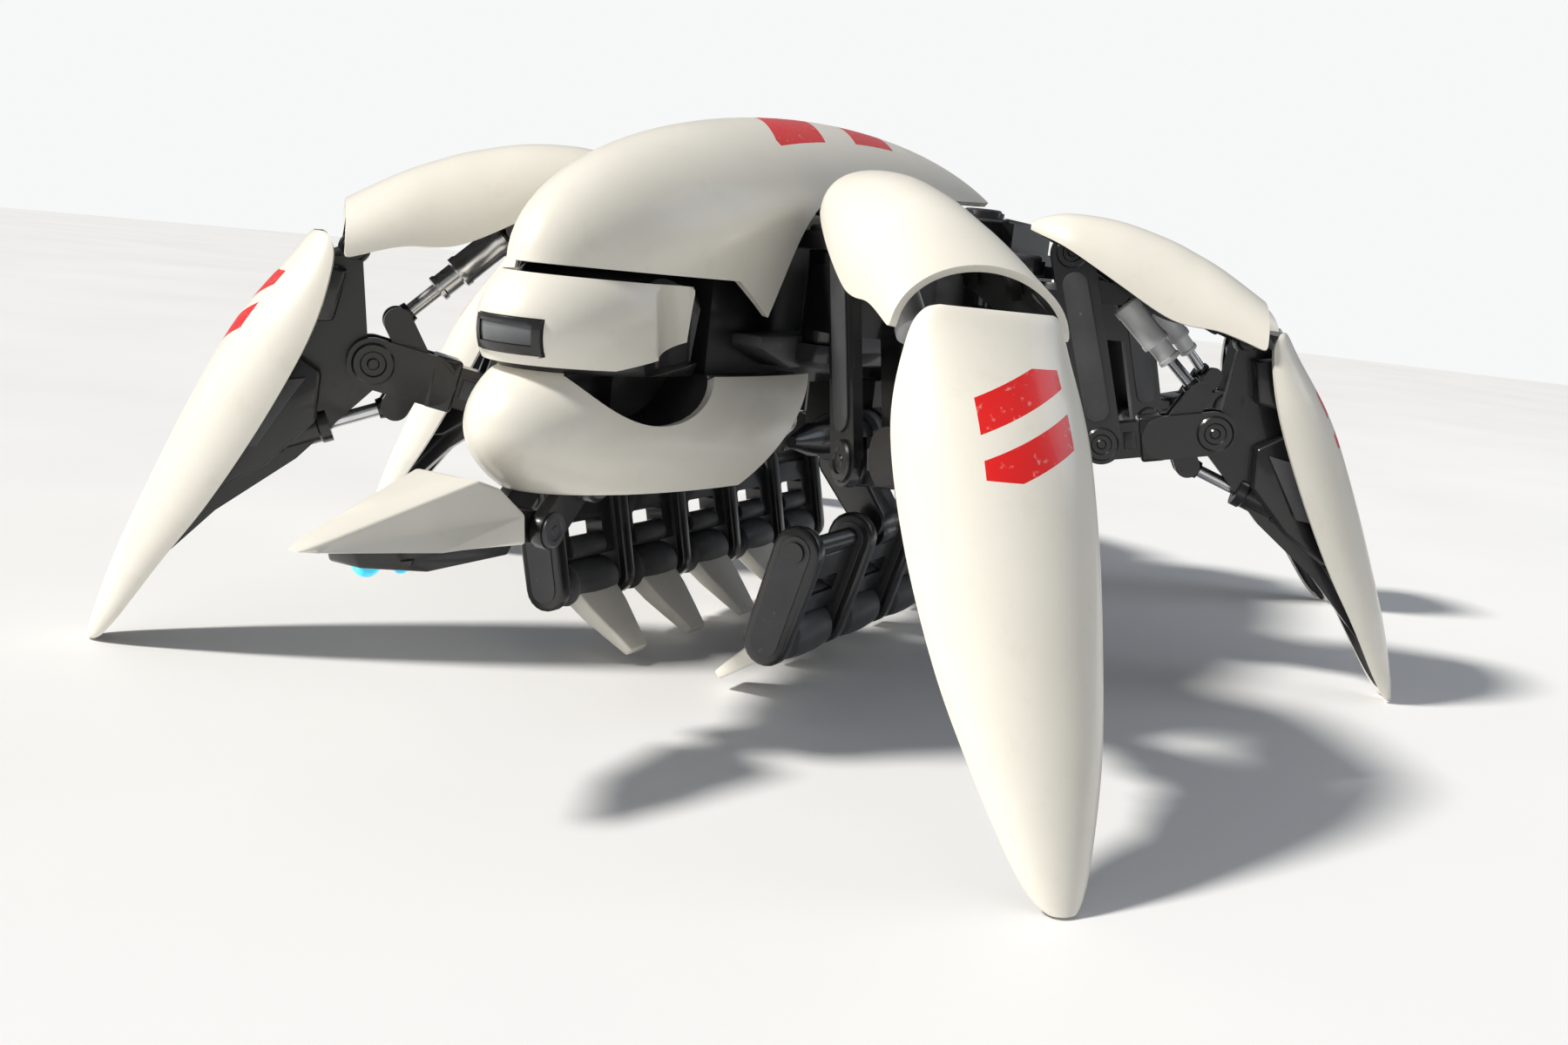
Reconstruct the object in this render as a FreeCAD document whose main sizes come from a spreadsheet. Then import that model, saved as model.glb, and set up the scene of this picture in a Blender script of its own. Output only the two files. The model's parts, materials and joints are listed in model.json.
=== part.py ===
import FreeCAD, Part
import math
import os
import re
from FreeCAD import Placement, Rotation, Vector

# Six-legged walking robot. +X is forward, +Y is left, +Z is up, and the origin is on the
# floor under the middle of the stance. Every leg is built once about its own hip, in a frame
# where +X points outward along the leg, and is then set at each hip.

SIZES = {
    # stance: where each hip axis stands and how far each leg is turned from straight ahead
    "front_hip_along": 96.0, "front_hip_side": 42.0,
    "mid_hip_along": -39.0, "mid_hip_side": 62.0,
    "rear_hip_along": -174.0, "rear_hip_side": 52.0,
    "front_left_turn": 50.0, "front_right_turn": 45.0,
    "mid_left_turn": 108.0, "mid_right_turn": 72.0, "rear_turn": 133.0,
    # fits
    "pin_gap": 0.05, "side_gap": 0.3,
    # hip yoke
    "post_radius": 6.0, "hub_radius": 10.0, "hub_low": 128.3, "hub_high": 159.7,
    "flange_thick": 6.0, "post_proud": 2.0,
    "cheek_thick": 3.5, "cheek_inner": 7.8, "cheek_radius": 8.5,
    "crown_reach": 22.0, "crown_rise": 171.0, "crown_pin": 3.5,
    "lift_reach": 45.0, "lift_rise": 94.0, "lift_pin": 4.0,
    "ram_reach": 43.0, "ram_rise": 156.0, "ram_pin": 2.0,
    # beam
    "knee_reach": 90.0, "knee_rise": 104.0, "knee_pin": 4.0,
    "beam_deep": 15.0, "beam_wide": 13.0, "eye_radius": 8.0,
    "fork_inner": 6.3, "fork_thick": 4.0, "fork_radius": 9.0, "fork_back": 20.0,
    "clevis_reach": 82.0, "clevis_rise": 119.0, "lug_inner": 4.3, "lug_thick": 3.0,
    "lug_radius": 5.0, "damper_reach": 81.5, "damper_rise": 89.0,
    # actuators
    "rod_eye": 4.0, "rod_half": 4.0, "rod_radius": 2.5, "sleeve_radius": 5.5,
    "sleeve_from": 5.0, "sleeve_long": 20.0, "nose_radius": 4.4, "nose_long": 10.0,
    "ram_rod_long": 35.0, "damper_rod_long": 34.0, "damper_drop": 20.0,
    "barrel_from": 24.0, "barrel_long": 22.0,
    # shin frame and armour
    "web_half": 4.0, "shin_hub": 8.0, "link_reach": 98.0, "link_rise": 143.0,
    "armor_wall": 2.2, "shin_wall": 2.4,
    # chassis
    "core_rear": -194.0, "core_step": 16.0, "core_front": 150.0,
    "core_half": 32.0, "neck_half": 25.0, "core_low": 112.0, "core_high": 172.0,
    "deck_long": 62.0, "deck_half": 28.0, "deck_rise": 12.0,
    "hatch_along": -164.0, "hatch_radius": 14.0, "hatch_rise": 6.0,
    "deck_bolt_along": 50.0, "deck_bolt_across": 44.0, "deck_bolt_radius": 1.6,
    "deck_bolt_deep": 8.0,
    "flange_radius": 12.0,
    "keel_rear": 92.0, "keel_front": 188.0, "keel_half": 15.0, "keel_low": 83.0,
    "neck_front": 188.0, "neck_top": 118.0,
    # carapace
    "dome_along": 1.0, "dome_half_long": 215.0, "dome_half_wide": 46.0, "dome_high": 62.0,
    "dome_edge": 147.0, "dome_wall": 2.5,
    "arch_along": 96.0, "arch_rise": 120.0, "arch_radius": 60.0, "arch_tail": 3.4,
    "boss_radius": 5.0,
    # head, visor and jaw
    "head_along": 166.0, "head_half_long": 58.0, "head_half_wide": 31.0, "head_mid": 128.0,
    "head_half_high": 30.0, "head_top": 144.0, "head_wall": 2.5, "head_rear": 164.0,
    "visor_half": 11.5, "visor_low": 120.8, "visor_high": 131.5, "visor_proud": 0.8,
    "jaw_along": 116.0, "jaw_half_long": 112.0, "jaw_half_wide": 39.0, "jaw_mid": 100.0,
    "jaw_half_high": 34.0, "jaw_low": 80.0, "jaw_high": 116.5, "jaw_wall": 3.0,
    "scoop_along": 158.0, "scoop_rise": 122.0, "scoop_radius": 26.0,
    "tail_along": 134.0, "tail_slope": 40.0,
    # lamp pod
    "pod_pivot_along": 206.0, "pod_pivot_rise": 69.0, "pod_pin": 3.0, "pod_half": 16.0,
    "pod_eye": 6.0, "pod_eye_half": 6.0, "pod_rear": 226.0, "pod_nose": 299.5,
    "pod_base": 64.0, "pod_top": 88.0, "pod_nose_rise": 73.0, "lens_radius": 4.2,
    # hands
    "shoulder_side": 36.0, "shoulder_rise": 93.0, "shoulder_radius": 6.0,
    "shoulder_rear": -70.0, "shoulder_front": 88.0, "shoulder_cone": 16.0,
    "hanger_thick": 10.0, "hanger_rear": -10.0, "hanger_front": 30.0, "hanger_radius": 10.0,
    "elbow_side": 54.0, "elbow_rise": 60.0, "elbow_pin": 3.5,
    "knuckle_side": 46.0, "knuckle_rise": 27.0, "knuckle_pin": 3.0,
    "hand_along": 16.0, "finger_pitch": 43.8, "plate_thick": 5.0, "plate_radius": 8.0,
    "forearm_wide": 14.0, "forearm_pitch": 87.6,
    "claw_wide": 22.0, "claw_tip_wide": 9.0, "claw_hub": 7.0,
    "claw_tip_side": 20.0, "claw_tip_rise": 5.0,
}

SIDES = {"left": 1, "right": -1}
HIPS = {
    "front_left": ("front_hip_along", "front_hip_side", "front_left_turn"),
    "front_right": ("front_hip_along", "-front_hip_side", "-front_right_turn"),
    "mid_left": ("mid_hip_along", "mid_hip_side", "mid_left_turn"),
    "mid_right": ("mid_hip_along", "-mid_hip_side", "-mid_right_turn"),
    "rear_left": ("rear_hip_along", "rear_hip_side", "rear_turn"),
    "rear_right": ("rear_hip_along", "-rear_hip_side", "-rear_turn"),
}

TURN_TO = {
    "X": Rotation(Vector(0, 1, 0), 90),
    "Y": Rotation(Vector(1, 0, 0), -90),
    "Z": Rotation(),
}

doc = FreeCAD.newDocument("walker")
sheet = doc.addObject("Spreadsheet::Sheet", "dims")
for row, (word, value) in enumerate(SIZES.items(), start=1):
    sheet.set("A%d" % row, word)
    sheet.set("B%d" % row, str(value))
    sheet.setAlias("B%d" % row, word)
doc.recompute()

nodes = []


def val(word):
    """The number that the sheet holds for one size."""
    return float(sheet.get(word))


def formula(text):
    """Turn a formula in the sheet's own words into one that an object's property can hold."""
    def known(match):
        word = match.group(0)
        return "dims." + word if word in SIZES else word
    return re.sub(r"[a-z_]+[a-z0-9_]*", known, str(text))


def bind(obj, prop, text):
    obj.setExpression(prop, formula(text))


def place(obj, base, turn=None):
    if turn is not None:
        obj.Placement = Placement(Vector(), turn)
    for axis, text in zip("xyz", base):
        bind(obj, "Placement.Base." + axis, text)


def box(name, lengths, low):
    """A box from its three lengths and its low corner, all formulas."""
    obj = doc.addObject("Part::Box", name)
    for prop, text in zip(("Length", "Width", "Height"), lengths):
        bind(obj, prop, text)
    place(obj, low)
    return obj


def rod(name, radius, length, base, axis="Z"):
    """A cylinder from the middle of its first end, along one axis."""
    obj = doc.addObject("Part::Cylinder", name)
    bind(obj, "Radius", radius)
    bind(obj, "Height", length)
    place(obj, base, TURN_TO[axis])
    return obj


def cone(name, radius_1, radius_2, length, base, axis="Z"):
    obj = doc.addObject("Part::Cone", name)
    bind(obj, "Radius1", radius_1)
    bind(obj, "Radius2", radius_2)
    bind(obj, "Height", length)
    place(obj, base, TURN_TO[axis])
    return obj


def ovoid(name, half_x, half_y, half_z, centre):
    obj = doc.addObject("Part::Ellipsoid", name)
    for prop, text in zip(("Radius2", "Radius3", "Radius1"), (half_x, half_y, half_z)):
        bind(obj, prop, text)
    place(obj, centre)
    return obj


def fuse(name, parts):
    obj = doc.addObject("Part::MultiFuse", name)
    obj.Shapes = parts
    return obj


def cut(name, base, tool):
    obj = doc.addObject("Part::Cut", name)
    obj.Base = base
    obj.Tool = tool
    return obj


def common(name, first, second):
    obj = doc.addObject("Part::Common", name)
    obj.Base = first
    obj.Tool = second
    return obj


def leaning_bar(name, start, angle, length, deep, y_low, wide):
    """A bar in the upright plane, from a start point, rising at an angle from +X."""
    obj = doc.addObject("Part::Box", name)
    bind(obj, "Length", length)
    bind(obj, "Width", wide)
    bind(obj, "Height", deep)
    obj.Placement = Placement(Vector(), Rotation(Vector(0, -1, 0), 1))
    bind(obj, "Placement.Rotation.Angle", angle)
    bind(obj, "Placement.Base.x", "%s + (%s) / 2 * sin(%s)" % (start[0], deep, angle))
    bind(obj, "Placement.Base.y", y_low)
    bind(obj, "Placement.Base.z", "%s - (%s) / 2 * cos(%s)" % (start[1], deep, angle))
    return obj


def leaning_rod(name, start, angle, offset, radius, length):
    """A cylinder in the upright plane y = 0, its first end a distance along a rising line."""
    obj = doc.addObject("Part::Cylinder", name)
    bind(obj, "Radius", radius)
    bind(obj, "Height", length)
    obj.Placement = Placement(Vector(), Rotation(Vector(0, 1, 0), 1))
    bind(obj, "Placement.Rotation.Angle", "90 deg - (%s)" % angle)
    bind(obj, "Placement.Base.x", "%s + (%s) * cos(%s)" % (start[0], offset, angle))
    bind(obj, "Placement.Base.z", "%s + (%s) * sin(%s)" % (start[1], offset, angle))
    return obj


def slope(start, end):
    return "atan2(%s - (%s); %s - (%s))" % (end[1], start[1], end[0], start[0])


def span(start, end):
    return "sqrt((%s - (%s))^2 + (%s - (%s))^2)" % (end[0], start[0], end[1], start[1])


def strap(name, start, end, radius, y_low, wide):
    """An oblong plate round two points of the upright plane."""
    return fuse(name, [
        rod(name + "_a", radius, wide, (start[0], y_low, start[1]), "Y"),
        rod(name + "_b", radius, wide, (end[0], y_low, end[1]), "Y"),
        leaning_bar(name + "_bar", start, slope(start, end), span(start, end),
                    "2 * (%s)" % radius, y_low, wide),
    ])


def pair(maker, name, inner, thick):
    """The same plate twice, one each side of the middle plane."""
    return [maker(name + "_p", inner, thick), maker(name + "_n", "-(%s) - (%s)" % (inner, thick), thick)]


def cross_pin(name, point, radius, half):
    return rod(name, radius, "2 * (%s)" % half, (point[0], "-(%s)" % half, point[1]), "Y")


CROWN = ("crown_reach", "crown_rise")
LIFT = ("lift_reach", "lift_rise")
KNEE = ("knee_reach", "knee_rise")
RAM = ("ram_reach", "ram_rise")
CLEVIS = ("clevis_reach", "clevis_rise")
DAMPER = ("damper_reach", "damper_rise")
LINK = ("link_reach", "link_rise")
CHEEK_OUT = "cheek_inner + cheek_thick"
FORK_OUT = "fork_inner + fork_thick"
EYE_HALF = "cheek_inner - side_gap"
WEB = "web_half"


def hip_yoke():
    cheeks = pair(lambda n, low, thick: strap(n, CROWN, LIFT, "cheek_radius", low, thick),
                  "yoke_cheek", "cheek_inner", "cheek_thick")
    lugs = pair(lambda n, low, thick: strap(n, ("ram_reach - 14", "ram_rise"), RAM, "lug_radius - 0.5",
                                            low, thick),
                "yoke_lug", "lug_inner", "cheek_inner - lug_inner")
    return fuse("hip_yoke", cheeks + lugs + [
        rod("yoke_post", "post_radius", "hub_high - hub_low + 2 * (flange_thick + side_gap + post_proud)",
            ("0", "0", "hub_low - flange_thick - side_gap - post_proud")),
        rod("yoke_hub", "hub_radius", "hub_high - hub_low", ("0", "0", "hub_low")),
        box("yoke_web", ("27", "2 * (%s)" % CHEEK_OUT, "22"), ("5", "-(%s)" % CHEEK_OUT, "133")),
        cross_pin("yoke_crown_pin", CROWN, "crown_pin", CHEEK_OUT),
        cross_pin("yoke_lift_pin", LIFT, "lift_pin", CHEEK_OUT),
        cross_pin("yoke_ram_pin", RAM, "ram_pin", "cheek_inner"),
        box("yoke_bridge", ("12", "2 * cheek_inner", "10"), ("ram_reach - 18", "-cheek_inner", "ram_rise - 5")),
    ])


def femur_beam():
    web_start = ("knee_reach - fork_back", "knee_rise - fork_back * tan(%s)" % slope(LIFT, KNEE))
    cheeks = pair(lambda n, low, thick: strap(n, web_start, KNEE, "fork_radius", low, thick),
                  "beam_fork", "fork_inner", "fork_thick")
    top_lugs = pair(lambda n, low, thick: strap(n, ("clevis_reach - 6", "clevis_rise - 11"), CLEVIS, "lug_radius",
                                                low, thick), "beam_top_lug", "lug_inner", "lug_thick")
    low_lugs = pair(lambda n, low, thick: strap(n, ("damper_reach - 4", "damper_rise + 8"), DAMPER, "lug_radius",
                                                low, thick), "beam_low_lug", "lug_inner", "lug_thick")
    body = fuse("beam_body", cheeks + top_lugs + low_lugs + [
        leaning_bar("beam_box", LIFT, slope(LIFT, KNEE), "%s - shin_hub - 2.2" % span(LIFT, KNEE),
                    "beam_deep", "-beam_wide / 2", "beam_wide"),
        cross_pin("beam_eye", LIFT, "eye_radius", EYE_HALF),
        cross_pin("beam_knee_pin", KNEE, "knee_pin", FORK_OUT),
    ])
    clear = fuse("beam_clear", [
        cross_pin("beam_bore", LIFT, "lift_pin + pin_gap", "cheek_inner"),
        cross_pin("beam_ram_room", CLEVIS, "rod_eye + 2.2", "lug_inner"),
        cross_pin("beam_damper_room", DAMPER, "rod_eye + 2", "lug_inner"),
    ])
    return cut("femur_beam", body, clear)


def lift_cylinder():
    lean = slope(RAM, CLEVIS)
    body = fuse("ram_body", [
        cross_pin("ram_eye", RAM, "rod_eye", "rod_half"),
        leaning_rod("ram_neck", RAM, lean, "0", "rod_radius + 0.6", "sleeve_from + 1"),
        leaning_rod("ram_sleeve", RAM, lean, "sleeve_from", "sleeve_radius", "sleeve_long"),
        leaning_rod("ram_nose", RAM, lean, "sleeve_from + sleeve_long", "nose_radius", "nose_long"),
    ])
    hollow = fuse("ram_hollow", [
        cross_pin("ram_bore", RAM, "ram_pin + pin_gap", "rod_half + 1"),
        leaning_rod("ram_pipe", RAM, lean, "sleeve_from + 1.2", "rod_radius + pin_gap",
                    "sleeve_long + nose_long"),
    ])
    return cut("lift_cylinder", body, hollow)


def lift_rod():
    lean = slope(CLEVIS, RAM)
    return fuse("lift_rod", [
        cross_pin("rod_eye_disc", CLEVIS, "rod_eye", "rod_half"),
        leaning_rod("rod_stem", CLEVIS, lean, "0", "rod_radius", "ram_rod_long"),
    ])


def knee_rod():
    return fuse("knee_rod", [
        cross_pin("damper_eye_disc", DAMPER, "rod_eye", "rod_half"),
        leaning_rod("damper_stem", DAMPER, "-damper_drop * 1 deg", "0", "rod_radius", "damper_rod_long"),
    ])


# Stations of the thigh armour: how far out, the height of its crown, half its width and how
# far its two edges hang below the crown.
THIGH = [(4, 196, 6, 7), (20, 194.5, 16, 15), (40, 190, 22.5, 25), (60, 184, 25.5, 31),
         (82, 173.5, 27, 27), (102, 160, 27.5, 20)]
# Stations of the shin armour: height, how far out its crown lies, half its width and how far
# its two edges wrap back.
SHIN = [(148, 112.5, 20, 7), (138, 119.5, 24.5, 13.5), (115, 136, 31, 25), (85, 150.5, 29.5, 26),
        (55, 163, 25, 22), (33, 171.5, 19.5, 16), (12, 178, 12, 9), (0, 181, 5, 3)]


def trough(stations, wall, upright):
    """A curved half pipe through its stations. An upright one is cut level and opens back;
    a lying one is cut across its length and opens down."""
    wires = []
    for along, crown, half, drop in stations:
        skin = min(wall, 0.45 * half, 0.45 * drop)

        def point(side, depth):
            if upright:
                return Vector(crown - depth, side, along)
            return Vector(along, side, crown - depth)

        outer = Part.Arc(point(-half, drop), point(0, 0), point(half, drop)).toShape()
        inner = Part.Arc(point(half - skin, drop), point(0, skin), point(skin - half, drop)).toShape()
        wires.append(Part.Wire([
            outer,
            Part.LineSegment(point(half, drop), point(half - skin, drop)).toShape(),
            inner,
            Part.LineSegment(point(skin - half, drop), point(-half, drop)).toShape(),
        ]))
    return Part.makeLoft(wires, True, False)


def solid_feature(name, shape):
    obj = doc.addObject("Part::Feature", name)
    if shape.Volume < 0:
        shape.reverse()
    obj.Shape = shape
    return obj


def thigh_armor():
    shell = solid_feature("thigh_shell", trough(THIGH, val("armor_wall"), False))
    lug = strap("thigh_lug_solid", CROWN, ("crown_reach", "crown_rise + 14"), "7", "-(%s)" % EYE_HALF,
                "2 * (%s)" % EYE_HALF)
    filled = solid_feature("thigh_filled", trough_fill(THIGH, False))
    lug_in = common("thigh_lug", lug, filled)
    top = fuse("thigh_top", [shell, lug_in, cross_pin("thigh_eye", CROWN, "7", EYE_HALF)])
    return cut("thigh_armor", top, cross_pin("thigh_bore", CROWN, "crown_pin + pin_gap", "cheek_inner"))


def trough_fill(stations, upright):
    """The solid that a trough's outer skin encloses."""
    wires = []
    for along, crown, half, drop in stations:

        def point(side, depth):
            if upright:
                return Vector(crown - depth, side, along)
            return Vector(along, side, crown - depth)

        wires.append(Part.Wire([
            Part.Arc(point(-half, drop), point(0, 0.8), point(half, drop)).toShape(),
            Part.LineSegment(point(half, drop), point(-half, drop)).toShape(),
        ]))
    return Part.makeLoft(wires, True, False)


def seat_depth(wide, drop):
    """How far under the shin armour's crown the web's corners clear the inner skin."""
    wall = val("shin_wall")
    half, deep = wide - wall, drop - wall
    bend = (half ** 2 + deep ** 2) / (2 * deep)
    return wall + bend - math.sqrt(bend ** 2 - val("web_half") ** 2) + 2 * val("side_gap")


def shin_frame():
    half = val("web_half")
    knee = Vector(val("knee_reach"), 0, val("knee_rise"))
    front = [Vector(crown - seat_depth(wide, drop), 0, z) for z, crown, wide, drop in reversed(SHIN)
             if 10 < z < 140]
    link = Vector(val("link_reach"), 0, val("link_rise"))
    back = [link + Vector(4, 0, -3), link + Vector(-3, 0, -4), knee + Vector(2, 0, 7.5), knee,
            knee + Vector(-4, 0, -6.5), knee + Vector(10, 0, -21), knee + Vector(24, 0, -36),
            knee + Vector(50, 0, -56)]
    outline = front + back + [front[0]]
    web = Part.Face(Part.makePolygon(outline)).extrude(Vector(0, 2 * half, 0))
    web.translate(Vector(0, -half, 0))
    plate = solid_feature("shin_web", web)
    body = fuse("shin_body", [
        plate,
        cross_pin("shin_hub_disc", KNEE, "shin_hub", "fork_inner - side_gap"),
        cross_pin("shin_link_ball", LINK, "5", "3.5"),
        leaning_rod("shin_barrel", DAMPER, "-damper_drop * 1 deg", "barrel_from", "sleeve_radius", "barrel_long"),
    ])
    clear = fuse("shin_clear", [
        cross_pin("shin_bore", KNEE, "knee_pin + pin_gap", "fork_inner"),
        leaning_rod("shin_pipe", DAMPER, "-damper_drop * 1 deg", "barrel_from - 12", "rod_radius + pin_gap",
                    "barrel_long + 12"),
    ])
    return cut("shin_frame", body, clear)


def shin_armor():
    return solid_feature("shin_armor", trough(SHIN, val("shin_wall"), True))


def keep(obj, label, along="0", side="0", turn="0"):
    """Name one sub-part and set it in the robot."""
    held = doc.addObject("Part::Compound", "node_" + label)
    held.Links = [obj]
    held.Label = label
    held.Placement = Placement(Vector(), Rotation(Vector(0, 0, 1), 1))
    bind(held, "Placement.Rotation.Angle", turn)
    bind(held, "Placement.Base.x", along)
    bind(held, "Placement.Base.y", side)
    nodes.append(held)
    return held


def build_legs():
    pieces = {
        "hip_yoke": hip_yoke(), "femur_beam": femur_beam(), "thigh_armor": thigh_armor(),
        "lift_cylinder": lift_cylinder(), "lift_rod": lift_rod(), "shin_frame": shin_frame(),
        "shin_armor": shin_armor(), "knee_rod": knee_rod(),
    }
    for hip, (along, side, turn) in HIPS.items():
        for piece, obj in pieces.items():
            keep(obj, hip + "_" + piece, along, side, turn)


def hip_flanges():
    """The two arms at each hip that carry the yoke's post, and the bores through them."""
    arms = []
    bores = []
    levels = {"low": "hub_low - side_gap - flange_thick", "high": "hub_high + side_gap"}
    for hip, (along, side, _) in HIPS.items():
        sign = -1 if side.startswith("-") else 1
        low = "0" if sign > 0 else side
        for level, base in levels.items():
            name = "flange_%s_%s" % (hip, level)
            arms.append(rod(name + "_end", "flange_radius", "flange_thick", (along, side, base)))
            arms.append(box(name + "_arm", ("2 * flange_radius", side.lstrip("-"), "flange_thick"),
                            (along + " - flange_radius", low, base)))
        bores.append(rod("bore_" + hip, "post_radius + pin_gap", "core_high", (along, side, "core_low")))
    return arms, bores


def hangers():
    """Hangers under the core that carry the two shoulder tubes."""
    arms = []
    bores = []
    for side, sign in SIDES.items():
        middle = "shoulder_side" if sign > 0 else "-shoulder_side"
        low = "10" if sign > 0 else "-shoulder_side - 2"
        for where in ("hanger_rear", "hanger_front"):
            name = "%s_%s" % (where, side)
            arms.append(rod(name + "_ring", "hanger_radius", "hanger_thick", (where, middle, "shoulder_rise"),
                            "X"))
            arms.append(box(name + "_strut", ("hanger_thick", "shoulder_side - 8",
                                              "core_low - shoulder_rise + 1"),
                            (where, low, "shoulder_rise")))
        bores.append(rod("bore_shoulder_" + side, "shoulder_radius + pin_gap", "400",
                         ("-200", middle, "shoulder_rise"), "X"))
    return arms, bores


def chassis():
    arms, bores = hip_flanges()
    more_arms, more_bores = hangers()
    body = fuse("chassis_body", arms + more_arms + [
        box("core_aft", ("core_step - core_rear", "2 * core_half", "core_high - core_low"),
            ("core_rear", "-core_half", "core_low")),
        box("core_fore", ("core_front - core_step", "2 * neck_half", "core_high - core_low"),
            ("core_step", "-neck_half", "core_low")),
        box("deck", ("deck_long", "2 * deck_half", "deck_rise"), ("core_rear", "-deck_half", "core_high")),
        rod("hatch_base", "hatch_radius", "hatch_rise / 2", ("hatch_along", "0", "core_high + deck_rise")),
        rod("hatch_lid", "hatch_radius - 3", "hatch_rise / 2",
            ("hatch_along", "0", "core_high + deck_rise + hatch_rise / 2")),
        box("keel", ("keel_front - keel_rear", "2 * keel_half", "neck_top - keel_low - 1"),
            ("keel_rear", "-keel_half", "keel_low")),
        box("neck", ("neck_front - core_front", "2 * keel_half", "8"),
            ("core_front", "-keel_half", "neck_top - 8")),
    ])
    ears = pair(lambda n, low, thick: strap(n, ("pod_pivot_along - 21", "keel_low + 6"),
                                            ("pod_pivot_along", "pod_pivot_rise"), "pod_eye", low, thick),
                "pod_fork", "pod_eye_half + side_gap", "4")
    forked = fuse("chassis_forked", [body] + ears + [
        cross_pin("pod_axle", ("pod_pivot_along", "pod_pivot_rise"), "pod_pin",
                  "pod_eye_half + side_gap + 4"),
    ])
    bolts = []
    for i, x in enumerate(("-", "+")):
        for j, y in enumerate(("-", "")):
            bolts.append(rod("deck_bolt_%d%d" % (i, j), "deck_bolt_radius", "deck_bolt_deep + 1",
                             ("core_rear + deck_long / 2 %s deck_bolt_along / 2" % x,
                              "%sdeck_bolt_across / 2" % y, "core_high + deck_rise - deck_bolt_deep")))
    clear = fuse("chassis_clear", bores + more_bores + bolts + hub_rooms())
    keep(cut("chassis_cut", forked, clear), "chassis")


def hub_rooms():
    """Room round each yoke's hub, where the core stands close to it."""
    return [rod("room_" + hip, "hub_radius + 1", "hub_high - hub_low + 2 * side_gap",
                (along, side, "hub_low - side_gap")) for hip, (along, side, _) in HIPS.items()]


def carapace():
    centre = ("dome_along", "0", "dome_edge")
    outer = ovoid("dome_outer", "dome_half_long", "dome_half_wide", "dome_high", centre)
    inner = ovoid("dome_inner", "dome_half_long - dome_wall", "dome_half_wide - dome_wall",
                  "dome_high - dome_wall", centre)
    shell = cut("dome_shell", outer, inner)
    tail = box("dome_tail", ("600", "400", "300"), ("arch_along - 600", "-200", "0"))
    tail.Placement = Placement(Vector(), Rotation(Vector(0, 1, 0), 1))
    bind(tail, "Placement.Rotation.Angle", "arch_tail")
    bind(tail, "Placement.Base.x", "arch_along - 600 * cos(arch_tail) - 300 * sin(arch_tail)")
    bind(tail, "Placement.Base.y", "-200")
    bind(tail, "Placement.Base.z",
         "arch_rise + arch_radius + 600 * sin(arch_tail) - 300 * cos(arch_tail)")
    below = fuse("dome_below", [
        box("dome_floor", ("900", "400", "dome_edge"), ("-450", "-200", "0")),
        rod("dome_arch", "arch_radius", "400", ("arch_along", "-200", "arch_rise"), "Y"),
        tail,
    ])
    cap = cut("dome_cap", shell, below)
    posts = fuse("dome_posts", [
        rod("dome_post_%d" % i, "boss_radius", "dome_high", (x, "0", "core_high"))
        for i, x in enumerate(("dome_along - 70", "dome_along + 30", "dome_along + 130"))
    ])
    outer_again = ovoid("dome_outer_again", "dome_half_long - 0.5", "dome_half_wide - 0.5",
                        "dome_high - 0.5", centre)
    keep(fuse("carapace_all", [cap, common("dome_bosses", posts, outer_again)]), "carapace")


def head():
    centre = ("head_along", "0", "head_mid")
    outer = ovoid("head_outer", "head_half_long", "head_half_wide", "head_half_high", centre)
    slab = box("head_slab", ("2 * head_half_long", "2 * head_half_wide", "head_top - neck_top"),
               ("head_along - head_half_long", "-head_half_wide", "neck_top"))
    inner = ovoid("head_inner", "head_half_long - head_wall", "head_half_wide - head_wall",
                  "head_half_high - head_wall", centre)
    inner_slab = box("head_inner_slab", ("2 * head_half_long", "2 * head_half_wide", "60"),
                     ("head_along - head_half_long", "-head_half_wide", "neck_top + head_wall"))
    hollow = fuse("head_hollow", [
        common("head_room", inner, inner_slab),
        box("head_back", ("100", "200", "200"), ("head_rear - 100", "-100", "0")),
        box("head_window", ("head_half_long", "2 * visor_half", "visor_high - visor_low"),
            ("head_along + 30", "-visor_half", "visor_low")),
    ])
    keep(cut("head_cut", common("head_solid", outer, slab), hollow), "head_shell")
    glass_outer = ovoid("visor_outer", "head_half_long + visor_proud", "head_half_wide + visor_proud",
                        "head_half_high + visor_proud", centre)
    pane = box("visor_pane", ("head_half_long", "2 * (visor_half - side_gap)",
                              "visor_high - visor_low - 2 * side_gap"),
               ("head_along + 30", "side_gap - visor_half", "visor_low + side_gap"))
    glass_inner = ovoid("visor_inner", "head_half_long - 2", "head_half_wide - 2", "head_half_high - 2",
                        centre)
    keep(cut("visor_cut", common("visor_solid", glass_outer, pane), glass_inner), "visor")


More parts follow.
